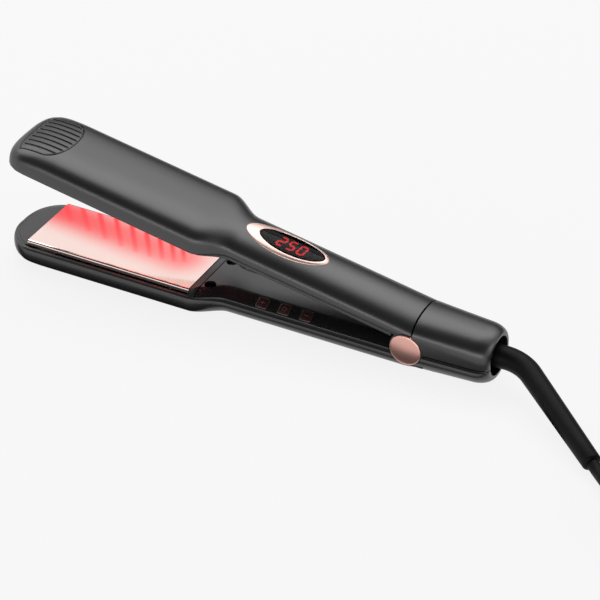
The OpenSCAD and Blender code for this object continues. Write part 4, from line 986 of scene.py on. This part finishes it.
def coil_tie(c):
    """A strap round all the loops of the coil."""
    per_layer = c.turns / COIL_LAYERS
    r0 = c.coil_r - c.coil_step * per_layer - c.diameter / 2 - 0.0011
    r1 = c.coil_r + c.diameter / 2 + STRAP_GAP
    z0 = -c.diameter / 2 - STRAP_GAP / 2
    z1 = c.coil_step * (COIL_LAYERS - 1) + c.diameter / 2 + STRAP_GAP
    turn = Matrix.Rotation(STRAP_TURN, 4, "Z")
    t = STRAP_T
    inner = softened(rectangle(r0, z0, r1, z1), STRAP_CORNER_R, 8)
    outer = softened(rectangle(r0 - t, z0 - t, r1 + t, z1 + t), STRAP_CORNER_R + t, 8)

    def place(p):
        return COIL_CENTRE + turn @ Vector(p)

    half, edge = STRAP_W / 2, 0.0003
    levels = [(-half, 0.5), (-half + edge, 1.0), (half - edge, 1.0), (half, 0.5)]
    rings = []
    for a, b in zip(map(Vector, inner), map(Vector, outer)):
        m = (a + b) / 2
        ring = [(mix(m.x, b.x, f), y, mix(m.y, b.y, f)) for y, f in levels]
        ring += [(mix(m.x, a.x, f), y, mix(m.y, a.y, f)) for y, f in levels[::-1]]
        rings.append(ring)
    strap = loft("cord_tie_piece", rings, place, closed=True, angle=50)
    return dress(strap, "swivel", "tie_rubber", ["cord_tie"], 50)


class StraightenerUpperShellOperator(bpy.types.Operator):
    """Makes the shell of the upper arm with the pocket of its grip panel"""

    bl_idname = "straightener.upper_shell"
    bl_label = "Upper shell"

    def execute(self, context):
        o = Outline(context)
        rings = []
        for x in o.stations(UPPER_RINGS_X1, TIP_P):
            z0, z1 = o.upper_rim(x), o.top_h(x)
            w = max(o.half_w(x), 1e-5)
            rings.append(o.ring(x, z0, o.shoulder(z0, z1), z1, o.top_blunt, w, UPPER_EDGE_TUCK))
        shell = loft("upper_shell_piece", rings, on_upper)
        end = prism("cut", rectangle(UPPER_END_X, -FAR, FAR, FAR), -FAR, FAR, about_hinge)
        barrel_room = cylinder("cut", BARREL_ROOM_R, -FAR, FAR, place=across_hinge)
        half = GRIP_HALF_W + PANEL_FIT
        rows = [half * math.sin(math.radians(a)) for a in range(-90, 91, 6)]
        pocket = loft("cut", [panel_ring(o, y, PANEL_FIT, 0.003, PANEL_T + 0.0002) for y in rows], on_upper)
        tip = tip_pocket(o, TIP_P, on_upper)
        opening = oval(BEZEL_A - BEZEL_LAP, BEZEL_B - BEZEL_LAP, BEZEL_X, n=128)
        window = prism("cut", opening, WINDOW_Z0, FAR, on_upper)
        combine(shell, [end, barrel_room, pocket, tip, window])
        dress(shell, "upper_arm", "shell_plastic", ["upper_shell"], 28)
        return {"FINISHED"}


UPPER_RINGS_X1 = 0.006
UPPER_END_X = 0.0029
BARREL_ROOM_R = 0.0103
FAR = 0.06
WINDOW_Z0 = 0.0125
TIP_INSET = 0.00435
TIP_POCKET_D = 0.0012


def tip_pocket(o, p, place):
    """The pocket in a tip that holds the end of the inner frame."""
    x0, x1 = TIP_X + TIP_INSET, PLATE_X0 - GAP
    edge = []
    for a in range(0, 91, 5):
        x = x0 + (x1 - x0) * (1 - math.cos(math.radians(a)))
        edge.append((x, max(0.002, o.half_w(x - TIP_INSET * 0.35, p) - TIP_INSET * 0.8)))
    outline = edge + [(x, -y) for x, y in edge[::-1]]
    return prism("cut", outline, -0.003, o.rim_gap + TIP_POCKET_D, place)


GRIP_HALF_W = 0.0186
PANEL_MARGIN = 0.006
PANEL_L = 0.026
PANEL_BOW = 0.012
PANEL_T = 0.0014
PANEL_FIT = 0.0004
PANEL_BLUNT = 2.3
PANEL_CROWN = 0.0003
PANEL_EDGE_L = 0.0008
PANEL_SIDE_W = 0.0007
GROOVE_HALF_W = 0.0009
GROOVE_STEPS = (0.4, 0.55, 0.7, 0.85, 1.0, 1.2)


def panel_span(o, y, grow=0.0):
    """Both ends of the panel at y, with its outline let out by grow."""
    nose = 1 - rounded(abs(y) / (HEAD_W / 2 - 0.003), TIP_P)
    x0 = TIP_X + PANEL_MARGIN - grow + (o.tip_round_l - 0.010) * nose
    x1 = TIP_X + PANEL_MARGIN + PANEL_L - PANEL_BOW + grow
    x1 += PANEL_BOW * rounded(abs(y) / (GRIP_HALF_W + grow), PANEL_BLUNT)
    return x0, max(x0 + 0.001, x1)


def panel_ring(o, y, grow, top, depth, n=24):
    x0, x1 = panel_span(o, y, grow)
    line = [(x, y) for x in spaced(x0, x1, (x1 - x0) / n)]
    return on_surface(o, line, top) + on_surface(o, line[::-1], -depth)


class StraightenerGripOperator(bpy.types.Operator):
    """Makes the ribbed grip panel on the upper tip"""

    bl_idname = "straightener.grip_panel"
    bl_label = "Grip panel"

    grooves: IntProperty(name="Grooves", description="Number of grooves", default=8, min=1)
    pitch: length_property("Pitch", "Spacing of the grooves", 0.0042)
    depth: length_property("Depth", "Depth of the grooves", 0.0008)

    def execute(self, context):
        o = Outline(context)
        places = [(k - (self.grooves - 1) / 2) * self.pitch for k in range(self.grooves)]
        insets = (0, 0.0001, 0.0003, PANEL_SIDE_W)
        rows = {side * (GRIP_HALF_W - inset) for inset in insets for side in (-1, 1)}
        for place in places:
            rows |= {place + side * GROOVE_HALF_W * t for t in GROOVE_STEPS for side in (-1, 1)}
        for a, b in zip(places, places[1:]):
            rows |= {mix(a, b, t) for t in (0.35, 0.5, 0.65)}
        rings = []
        for y in sorted(rows):
            x0, x1 = panel_span(o, y)
            near = min(abs(y - place) for place in places)
            dip = self.depth * (1 - ease((near / GROOVE_HALF_W - 0.45) / 0.5))
            side = limit1((GRIP_HALF_W - abs(y)) / PANEL_SIDE_W)
            high, low = [], []
            for x in spaced(x0, x1, (x1 - x0) / 40):
                end = min(x - x0, x1 - x)
                crown = PANEL_CROWN * rounded(1 - limit1(end / PANEL_EDGE_L), 2) * rounded(1 - side, 2)
                z = o.upper_surface(x, y)
                high.append((x, y, z + crown - dip * ease((end - 0.0006) / 0.0012)))
                low.append((x, y, z - PANEL_T))
            rings.append(high + low[::-1])
        panel = loft("grip_panel_piece", rings, on_upper, angle=50)
        dress(panel, "upper_arm", "grip_plastic", ["grip_panel"], 50)
        return {"FINISHED"}


class StraightenerLowerShellOperator(bpy.types.Operator):
    """Makes the shell of the lower arm, which carries the hinge and the tail"""

    bl_idname = "straightener.lower_shell"
    bl_label = "Lower shell"

    def execute(self, context):
        o = Outline(context)
        rings = []
        for x in o.stations(TAIL_L - o.end_round_l, LOWER_TIP_P)[:-1] + tail_end_stations(o):
            z0, z1 = o.lower_rim(x), o.belly_d(x)
            w = max(o.half_w(x, LOWER_TIP_P), 1e-5)
            zc = o.shoulder(z0, z1)
            rings.append(o.ring(x, z0, zc, z1, o.belly_blunt, w, flat=BELLY_H, e=o.end_t(x)))
        shell = loft("lower_shell_piece", rings, on_lower)
        foot = rectangle(-CHEEK_R, -CHEEK_R, CHEEK_R, CHEEK_FOOT_Z)
        cheeks = []
        for low, high in spans(CHEEK_Y0, CAP_SEAT_Y):
            cheeks.append(cylinder("join", CHEEK_R, low, high, place=across_hinge))
            cheeks.append(prism("join", foot, low, high, across_hinge))
        combine(shell, cheeks, "UNION")
        sinks = [hinge_disc(CAP_R + CAP_GAP, *span) for span in spans(CAP_SEAT_Y, SIDE_Y)]
        heads = []
        for y in (-SCREW_HEAD_Y, SCREW_HEAD_Y):
            heads.append(cylinder("cut", SCREW_HEAD_R, 0.013, 0.02, SCREW_HEAD_X, y, on_lower))
        combine(shell, sinks + [tip_pocket(o, LOWER_TIP_P, on_lower)] + swivel_room(o) + heads)
        dress(shell, "lower_arm", "shell_plastic", ["lower_shell"], 28)
        return {"FINISHED"}


CAP_R = 0.0092
CAP_GAP = 0.00035
CHEEK_R = CAP_R + 0.0007
CHEEK_Y0 = 0.0133
CHEEK_FOOT_Z = -0.004
SIDE_Y = 0.03
SCREW_HEAD_R = 0.00265
SCREW_HEAD_X = 0.014
SCREW_HEAD_Y = 0.009


def hinge_disc(r, low, high):
    return cylinder("cut", r, low, high, place=across_hinge)


def tail_end_stations(o):
    return [TAIL_L - o.end_round_l * (1 - math.sin(math.radians(a))) for a in range(0, 91, 6)]


SWIVEL_NECK_R = 0.00825
SWIVEL_FLANGE_R = 0.01105
SWIVEL_FLANGE_L = 0.0046
LEAD_ROOM_R = 0.0072


def swivel_room(o):
    """Cuts for the recess, the neck and the chamber that hold the cord's swivel."""
    rooms = [
        (o.recess_r, o.recess_x, TAIL_L + OVER),
        (SWIVEL_NECK_R, o.chamber_x0, o.recess_x + OVER),
        (SWIVEL_FLANGE_R, o.chamber_x0, o.chamber_x0 + SWIVEL_FLANGE_L),
        (LEAD_ROOM_R, o.solid_x - OVER, o.chamber_x0 + OVER),
    ]
    return [cylinder("cut", r, x0, x1, place=along_x) for r, x0, x1 in rooms]


class StraightenerTailOperator(bpy.types.Operator):
    """Makes the cover over the tail, behind the upper arm"""

    bl_idname = "straightener.tail_cover"
    bl_label = "Tail cover"

    def execute(self, context):
        o = Outline(context)
        z0 = SEAM_T - o.rim_gap
        places = spaced(o.tail_x0, TAIL_L - o.end_round_l, o.s.station_step)[:-1] + tail_end_stations(o)
        rings = []
        for x in places:
            zc = mix(o.seam_gap + EDGE_H, 0.002, o.tail_t(x))
            rings.append(o.ring(x, z0, zc, o.top_h(x), o.top_blunt, o.half_w(x), e=o.end_t(x)))
        cover = loft("tail_cover_piece", rings, on_lower_up)
        tools = swivel_room(o)
        for inner, outer in zip(spans(CHEEK_Y0 - GAP, CAP_SEAT_Y), spans(CAP_SEAT_Y - OVER, SIDE_Y)):
            tools += [hinge_disc(CHEEK_R + FIT, *inner), hinge_disc(CAP_R + CAP_GAP, *outer)]
        combine(cover, tools)
        dress(cover, "lower_arm", "shell_plastic", ["tail_cover"], 28)
        return {"FINISHED"}


# Inset and drop of the points along the rounded edge of a cap
CAP_EDGE = ((0, 0.0005), (0.00006, 0.0003), (0.0002, 0.00014), (0.0004, 0.00004))


class StraightenerCapOperator(bpy.types.Operator):
    """Makes the domed caps over both ends of the hinge"""

    bl_idname = "straightener.hinge_caps"
    bl_label = "Hinge caps"

    dome: length_property("Dome", "How far the middle bulges", 0.0005)

    def execute(self, context):
        rim = CAP_FACE_Y - self.dome
        profile = [(-0.0002, CAP_SEAT_Y), (0, CAP_SEAT_Y + 0.0002)]
        profile += [(-inset, rim - drop) for inset, drop in CAP_EDGE]
        for t in (0.93, 0.85, 0.75, 0.62, 0.48, 0.34, 0.2, 0.08, 0.01):
            profile.append((CAP_R * (t - 1), CAP_FACE_Y - self.dome * t * t))
        sides = []
        for side in (-1, 1):
            rings = [
                [(x, z, side * y) for x, z in oval(CAP_R + grow, CAP_R + grow, n=96)] for grow, y in profile
            ]
            sides.append(loft("hinge_caps_piece", rings, across_hinge))
        caps = combine(sides[0], sides[1:], "UNION")
        caps.name = "hinge_caps_piece"
        dress(caps, "lower_arm", "bezel_metal", ["hinge_caps"], 40, finish("cap_metal"))
        return {"FINISHED"}


LEAD_SIDES = (0, 0.0025)


class StraightenerLeadOperator(bpy.types.Operator):
    """Makes the two leads that go round the hinge, from the lower arm to the open upper arm"""

    bl_idname = "straightener.hinge_lead"
    bl_label = "Leads across the hinge"

    diameter: length_property("Diameter", "Thickness of a lead", 0.0014)
    turn_radius: length_property("Turn radius", "Radius of the leads round the barrel", 0.0113)

    def execute(self, context):
        tubes = []
        for y in LEAD_SIDES:
            points = self.route(y)
            radii = [self.diameter / 2] * len(points)
            tubes.append(sweep("hinge_lead_piece", points, radii, 12, up=Vector((0, 1, 0))))
        leads = combine(tubes[0], tubes[1:], "UNION")
        leads.name = "hinge_lead_piece"
        leads.data.materials.clear()
        leads.data.materials.append(finish("lead_blue"))
        smooth(leads, 40)
        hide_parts("hinge_lead")
        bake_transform(leads)
        return {"FINISHED"}

    def route(self, y):
        """From the main board under and round the barrel to the display board."""
        r = self.turn_radius
        board_x, board_z = NECK_X1 + 0.064, -0.0083
        socket_x, socket_z = BEZEL_X + 0.021, 0.01195
        leaving = [
            (board_x, y, board_z),
            (mix(board_x, -r, 0.23), y, board_z),
            (mix(board_x, -r, 0.64), y, board_z - 0.0039),
        ]
        arriving = [
            (-0.012, y + 0.005, 0.012),
            (-0.024, y + 0.005, 0.011),
            (socket_x + 0.008, y + 0.004, socket_z),
            (socket_x, y + 0.004, socket_z),
        ]
        points = [on_lower_up(p) for p in leaving]
        for degrees in range(-10, 171, 12):
            a = math.radians(degrees)
            points.append(about_hinge((r * math.sin(a), y + 0.00002 * degrees, -r * math.cos(a))))
        return points + [on_upper(p) for p in arriving]


class StraightenerDisplayOperator(bpy.types.Operator):
    """Makes the rose bezel, the smoked lens and the glowing digits"""

    bl_idname = "straightener.display"
    bl_label = "Display"

    reading: IntProperty(name="Reading", description="Number that the display shows", default=250)

    def execute(self, context):
        o = Outline(context)
        bezel = loft("display_bezel_piece", bezel_rings(o), on_upper, closed=True, angle=40)
        dress(bezel, "upper_arm", "bezel_metal", ["display_bezel"], 40)
        edge = ((0, LENS_RISE - 0.0003), (-0.00008, LENS_RISE - 0.00012), (-0.0003, LENS_RISE))
        profile = [(LENS_A * t, LENS_B * t, 0) for t in (0.02, 0.2, 0.4, 0.6, 0.8, 0.95, 1.0)]
        profile += [(LENS_A + grow, LENS_B + grow, rise) for grow, rise in edge]
        for t in (0.9, 0.75, 0.6, 0.45, 0.3, 0.15, 0.02):
            profile.append((LENS_A * t, LENS_B * t, LENS_RISE + LENS_CROWN * (1 - t * t)))
        rings = [oval_on_surface(o, LENS_X, *row) for row in profile]
        lens = loft("display_lens_piece", rings, on_upper, angle=40)
        dress(lens, "upper_arm", "lens_plastic", ["display_lens"], 40)
        digits(f"{self.reading:03d}")
        return {"FINISHED"}


NECK_X1 = Outline.neck_x0 + Outline.neck_l
BEZEL_X = NECK_X1 + 0.0252
LENS_X = NECK_X1 + 0.028
BEZEL_A, BEZEL_B = 0.0254, 0.0103
BEZEL_LAP = 0.0008
LENS_A, LENS_B = 0.01985, 0.0079
LENS_RISE = 0.0009
LENS_CROWN = 0.00018
DIGIT_Z0, DIGIT_Z1 = 0.01656, 0.01674


def on_surface(o, outline, rise):
    return [(x, y, o.upper_surface(x, y) + rise) for x, y in outline]


def oval_on_surface(o, x, a, b, rise):
    return on_surface(o, oval(a, b, x, n=128), rise)


def bezel_rings(o):
    """Cross-rings of the bezel from its outer foot over its crown to the lens and back under."""
    la, lb = LENS_A + FIT, LENS_B + FIT
    steps = ((0, -0.0003), (0, 0.0002), (0.00012, 0.0004), (0.0004, 0.0006))
    out = [oval_on_surface(o, BEZEL_X, BEZEL_A - inset, BEZEL_B - inset, rise) for inset, rise in steps]
    foot = out[-1]
    rim = oval(la + 0.0005, lb + 0.0005, LENS_X, n=128)
    for k in range(1, 13):
        t = k / 12
        between = [(mix(p[0], q[0], t), mix(p[1], q[1], t)) for p, q in zip(foot, rim)]
        out.append(on_surface(o, between, mix(0.0006, LENS_RISE, t) + 0.00008 * math.sin(math.pi * t)))
    steps = [(0.0003, LENS_RISE + 0.00002), (0.0001, LENS_RISE - 0.0001), (0, LENS_RISE - 0.0004)]
    steps += [(0, -0.00003), (-0.001, -0.00003), (-0.001, -0.0009)]
    out += [oval_on_surface(o, LENS_X, la + grow, lb + grow, rise) for grow, rise in steps]
    return out + [oval_on_surface(o, BEZEL_X, BEZEL_A - 0.0012, BEZEL_B - 0.0012, -0.0009)]


# Bars of a seven-bar digit: top, upper left, upper right, middle, lower left, lower right, bottom
DIGIT_BARS = {
    "0": "1110111",
    "1": "0010010",
    "2": "1011101",
    "3": "1011011",
    "4": "0111010",
    "5": "1101011",
    "6": "1101111",
    "7": "1010010",
    "8": "1111111",
    "9": "1111011",
}


def digits(text):
    """Seven-bar digits, just under the lens."""
    h, w, bar, pitch = 0.0085, 0.0048, 0.0011, 0.0063
    lean = math.tan(math.radians(5))
    dx, dy = (w - bar) / 2, (h - bar) / 2
    gap = 0.00012
    spots = [(0, dy, 1), (-dx, dy / 2, 0), (dx, dy / 2, 0), (0, 0, 1)]
    spots += [(-dx, -dy / 2, 0), (dx, -dy / 2, 0), (0, -dy, 1)]
    bm = bmesh.new()
    for place, sign in enumerate(text):
        shift = (place - (len(text) - 1) / 2) * pitch
        for lit, (x, y, lying) in zip(DIGIT_BARS[sign], spots):
            if lit == "0":
                continue
            half = (dx if lying else dy / 2) - gap
            b = bar / 2
            ends = [(-half, 0), (-half + b, b), (half - b, b), (half, 0), (half - b, -b), (-half + b, -b)]
            if not lying:
                ends = [(q, p) for p, q in ends]
            outline = [(LENS_X + shift + x + p + (y + q) * lean, y + q) for p, q in ends]
            add_solid(bm, layers(outline, DIGIT_Z0, DIGIT_Z1), on_upper)
    piece = new_object("display_digits_piece", bm)
    dress(piece, "upper_arm", "digits", ["display_digits"])


class StraightenerCoverOperator(bpy.types.Operator):
    """Makes the gloss inner covers of both handles"""

    bl_idname = "straightener.inner_covers"
    bl_label = "Inner covers"

    def execute(self, context):
        o = Outline(context)
        crown = o.rim_gap - 0.00005
        lower = inner_cover(o, "lower_inner_cover_piece", crown, on_lower_up, LOWER_SCREW_Z)
        half = BUTTON_W / 2 + BUTTON_GAP
        square = softened(rectangle(-half, -half, half, half), 0.0008)
        room = [prism("cut", square, -0.006, 0.003, border_place(k)) for k in range(3)]
        combine(lower, room)
        dress(lower, "lower_arm", "cover_plastic", ["lower_inner_cover"], 28)
        dress(end_strip(o), "lower_arm", "frame_plastic", angle=28)
        upper = inner_cover(o, "upper_inner_cover_piece", 0.0002, on_upper_down, UPPER_SCREW_Z)
        dress(upper, "upper_arm", "cover_plastic", ["upper_inner_cover"], 28)
        return {"FINISHED"}


COVER_X0 = PLATE_X1 + 0.0042
COVER_X1 = -0.010
BORDER_W = 0.0078
COVER_T = 0.0018
COVER_INSET = 0.0006
COVER_RAMP_L = 0.0006
COVER_CREST_R = 0.0014
COVER_EDGE_R = 0.0005
SCREW_R = 0.0034
SCREW_X = COVER_X0 + 0.0043
SCREW_Y = 0.0126
LOWER_SCREW_Z = 0.0039
UPPER_SCREW_Z = 0.0046
BUTTON_W = 0.0069
BUTTON_GAP = 0.0002
BUTTON_CORNER_R = 0.0011
BUTTON_PITCH = 0.0135
FIRST_BUTTON_X = NECK_X1 + 0.0215
BORDER_SLOPE = math.radians(22)
HANDLE_HALF_W = 0.0179


def on_lower_up(p):
    return on_lower((p[0], p[1], -p[2]))


def on_upper_down(p):
    return on_upper((p[0], p[1], -p[2]))


def inner_cover(o, name, crown, place, screw_z):
    """A thin cover whose middle rises by crown at its front edge, with two screw wells."""
    places = [COVER_X0 + COVER_RAMP_L * t for t in (0, 0.04, 0.1, 0.2, 0.3, 0.4, 0.5, 0.6, 0.7, 0.8, 0.9)]
    places += spaced(COVER_X0 + COVER_RAMP_L, COVER_X1, o.s.station_step)
    rings = []
    for x in places:
        w = o.half_w(x) - COVER_INSET
        w1 = w - BORDER_W
        w2 = o.half_w(x) - o.s.wall - 0.6 * EDGE_TUCK - GAP
        zb = -o.rim_h(x) + 0.0001
        zl = -o.rim_gap
        t = ease((x - COVER_X0) / COVER_RAMP_L) if crown > 0.0003 else 1
        zt = mix(zl + 0.0002, zl + crown, t)
        outside = [(-w, zb), (-w, zl), (-w1, zt), (w1, zt), (w, zl), (w, zb)]
        inside = [(w2, zb), (w2, zl - COVER_T), (w1, zt - COVER_T)]
        inside += [(-w1, zt - COVER_T), (-w2, zl - COVER_T), (-w2, zb)]
        line = outside[:1]
        for i in range(1, len(outside) - 1):
            line += corner(*outside[i - 1 : i + 2], COVER_CREST_R if i in (2, 3) else COVER_EDGE_R)
        line.append(outside[-1])
        rings.append([(x, y, z) for y, z in line + inside])
    cover = loft(name, rings, place)
    posts, wells = [], []
    post_r, post_z = SCREW_R + 0.0005, -screw_z - 0.0013
    for y in (-SCREW_Y, SCREW_Y):
        posts.append(cylinder("join", post_r, post_z, -o.rim_gap - 0.0005, SCREW_X, y, place))
        wells.append(cylinder("cut", SCREW_R, -screw_z, OVER, SCREW_X, y, place))
    combine(cover, posts, "UNION")
    return combine(cover, wells)


def end_strip(o):
    """The flush band that fills the recess between the lower plate and the lower cover."""
    rings = []
    for t in (0, 0.25, 0.5, 0.75, 1):
        x = mix(PLATE_X1 + 0.0005, COVER_X0 - FIT, t)
        w = o.half_w(x) - COVER_INSET
        w1 = w - mix(0.0026, BORDER_W, ease(t))
        low, top = -o.rim_gap + 0.00004, -0.0003
        profile = softened([(-w, low), (-w1, top), (w1, top), (w, low)], 0.0007)
        rings.append([(x, y, z) for y, z in profile])
    return loft("plate_end_strip", rings, on_lower_up, angle=28)


def border_place(k):
    """Places a point (x, y, out) on the sloping border of the lower cover at button k."""
    y0 = HANDLE_HALF_W - COVER_INSET - BORDER_W / 2
    z0 = 0.00005 + BORDER_W / 2 * math.tan(BORDER_SLOPE)
    c, s = math.cos(BORDER_SLOPE), math.sin(BORDER_SLOPE)

    def place(p):
        x = FIRST_BUTTON_X + k * BUTTON_PITCH + p[0]
        return Vector((x + HINGE.x, -y0 + p[1] * c - p[2] * s, PLANE_Z - z0 + p[1] * s + p[2] * c))

    return place


class StraightenerButtonOperator(bpy.types.Operator):
    """Makes the three buttons on the border of the lower cover, with plain signs"""

    bl_idname = "straightener.buttons"
    bl_label = "Buttons"

    proud: length_property("Proud", "How far they stand out", 0.0008)

    def execute(self, context):
        # inset of the outline and drop below the top, along the rounded edge of a button
        edge = ((0, 0.0006), (0.00008, 0.0003), (0.0003, 0.00008), (0.0006, 0))
        profile = [(0, -0.0019)] + [(inset, self.proud - drop) for inset, drop in edge]
        for k, name in enumerate(("plus_button", "power_button", "minus_button")):
            place = border_place(k)
            rings = []
            for inset, z in profile:
                s = BUTTON_W / 2 - inset
                square = softened(rectangle(-s, -s, s, s), BUTTON_CORNER_R - inset * 0.5, 6)
                rings.append([(x, y, z) for x, y in square])
            button = loft(name + "_piece", rings, place, angle=40)
            dress(button, name, "button_plastic", [name], 40)
            sign = button_sign(name + "_sign", k, place, self.proud)
            dress(sign, name, "button_plastic", material=sign_finish())
        return {"FINISHED"}


def sign_finish():
    return surface("Rose sign print", (0.30, 0.11, 0.09), 0.35, metallic=0.4, bump=0.0)


def button_sign(name, k, place, top):
    """A plus, a power sign or a minus, a hair proud of its button."""
    bar, half, r_mean = 0.00035, 0.0014, 0.0013
    z0, z1 = top - 0.0001, top + 0.00006
    flat = rectangle(-half, -bar / 2, half, bar / 2)
    upright = [(y, x) for x, y in flat][::-1]
    if k == 2:
        return prism(name, flat, z0, z1, place)
    if k == 0:
        return combine(prism(name, flat, z0, z1, place), [prism("join", upright, z0, z1, place)], "UNION")
    ring = []
    for r, order in ((r_mean + bar / 2, 1), (r_mean - bar / 2, -1)):
        arc = [(r * math.sin(math.radians(a)), r * math.cos(math.radians(a))) for a in range(35, 326, 10)]
        ring += arc[::order]
    sign = prism(name, ring, z0, z1, place)
    stem = prism("join", rectangle(-bar / 2, 0.0002, bar / 2, 0.0016), z0, z1, place)
    return combine(sign, [stem], "UNION")


class StraightenerLightOperator(bpy.types.Operator):
    """Puts a small red lamp at each emitter of the light strip"""

    bl_idname = "straightener.red_light"
    bl_label = "Red light"

    power: FloatProperty(name="Power", description="Power of each lamp in watts", default=0.005)
    lean: FloatProperty(name="Lean", description="How far the lamps lean to the tail", default=0.227)

    def execute(self, context):
        colours = context.scene.straightener_colours
        low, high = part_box("light_emitters")
        way = Vector((self.lean, 0, -1)).normalized()
        for k in range(EMITTERS):
            t = (k + 0.5) / EMITTERS
            x = mix(low.x, high.x, (k + 0.15) / (EMITTERS - 0.7))
            place = Vector((x, 0, mix(high.z, low.z, t) - LAMP_DROP))
            lamp(f"Emitter light {k}", place, way, self.power, colours.glow)
        return {"FINISHED"}


LAMP_DROP = 0.004


def lamp(name, place, way, power, colour):
    data = bpy.data.lights.new(name, "SPOT")
    data.energy = power
    data.color = colour
    data.spot_size = math.radians(95)
    data.spot_blend = 1.0
    data.shadow_soft_size = 0.002
    obj = in_scene(name, data)
    obj.location = place
    obj.rotation_euler = way.to_track_quat("-Z", "Y").to_euler()
    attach(obj, "upper_arm")


# Parts whose finish isn't the one of their slot
SPECIAL = {
    "lower_heater_plate": "lit_plate",
    "light_emitters": "emitter",
    "lower_cover_screws": "black_steel",
    "upper_cover_screws": "black_steel",
}


class StraightenerPartsOperator(bpy.types.Operator):
    """Gives every part that stays as it was made its own finish"""

    bl_idname = "straightener.parts"
    bl_label = "Other parts"

    def execute(self, context):
        made = finishes()
        owner = {row["node"]: row["material_slot"] for row in frame["record"]["subparts"]}
        for name, node in frame["nodes"].items():
            material = made[SPECIAL.get(name, owner[name])]
            for slot in node.material_slots:
                slot.material = material
        return {"FINISHED"}


class StraightenerPanel(bpy.types.Panel):
    """Lists the pieces of the straightener"""

    bl_idname = "VIEW3D_PT_straightener"
    bl_label = "Hair straightener"
    bl_space_type = "VIEW_3D"
    bl_region_type = "UI"
    bl_category = "Straightener"

    def draw(self, context):
        for operator in OPERATORS:
            self.layout.operator(operator.bl_idname)
        for settings in (context.scene.straightener_shape, context.scene.straightener_colours):
            for name in settings.bl_rna.properties.keys():
                if name not in ("rna_type", "name"):
                    self.layout.prop(settings, name)


GROUPS = {
    "straightener_shape": StraightenerShape,
    "straightener_cord": StraightenerCord,
    "straightener_colours": StraightenerColours,
    "straightener_stage": StraightenerStage,
}
OPERATORS = [
    StraightenerStageOperator,
    StraightenerCordOperator,
    StraightenerUpperShellOperator,
    StraightenerGripOperator,
    StraightenerLowerShellOperator,
    StraightenerTailOperator,
    StraightenerCapOperator,
    StraightenerLeadOperator,
    StraightenerDisplayOperator,
    StraightenerCoverOperator,
    StraightenerButtonOperator,
    StraightenerLightOperator,
    StraightenerPartsOperator,
]


def register():
    for cls in [*GROUPS.values(), *OPERATORS, StraightenerPanel]:
        bpy.utils.register_class(cls)
    for name, cls in GROUPS.items():
        setattr(bpy.types.Scene, name, PointerProperty(type=cls))


def unregister():
    for name in GROUPS:
        delattr(bpy.types.Scene, name)
    for cls in [StraightenerPanel, *OPERATORS[::-1], *list(GROUPS.values())[::-1]]:
        bpy.utils.unregister_class(cls)


def main():
    register()
    for operator in OPERATORS:
        group, name = operator.bl_idname.split(".")
        getattr(getattr(bpy.ops, group), name)()


if __name__ == "__main__":
    main()
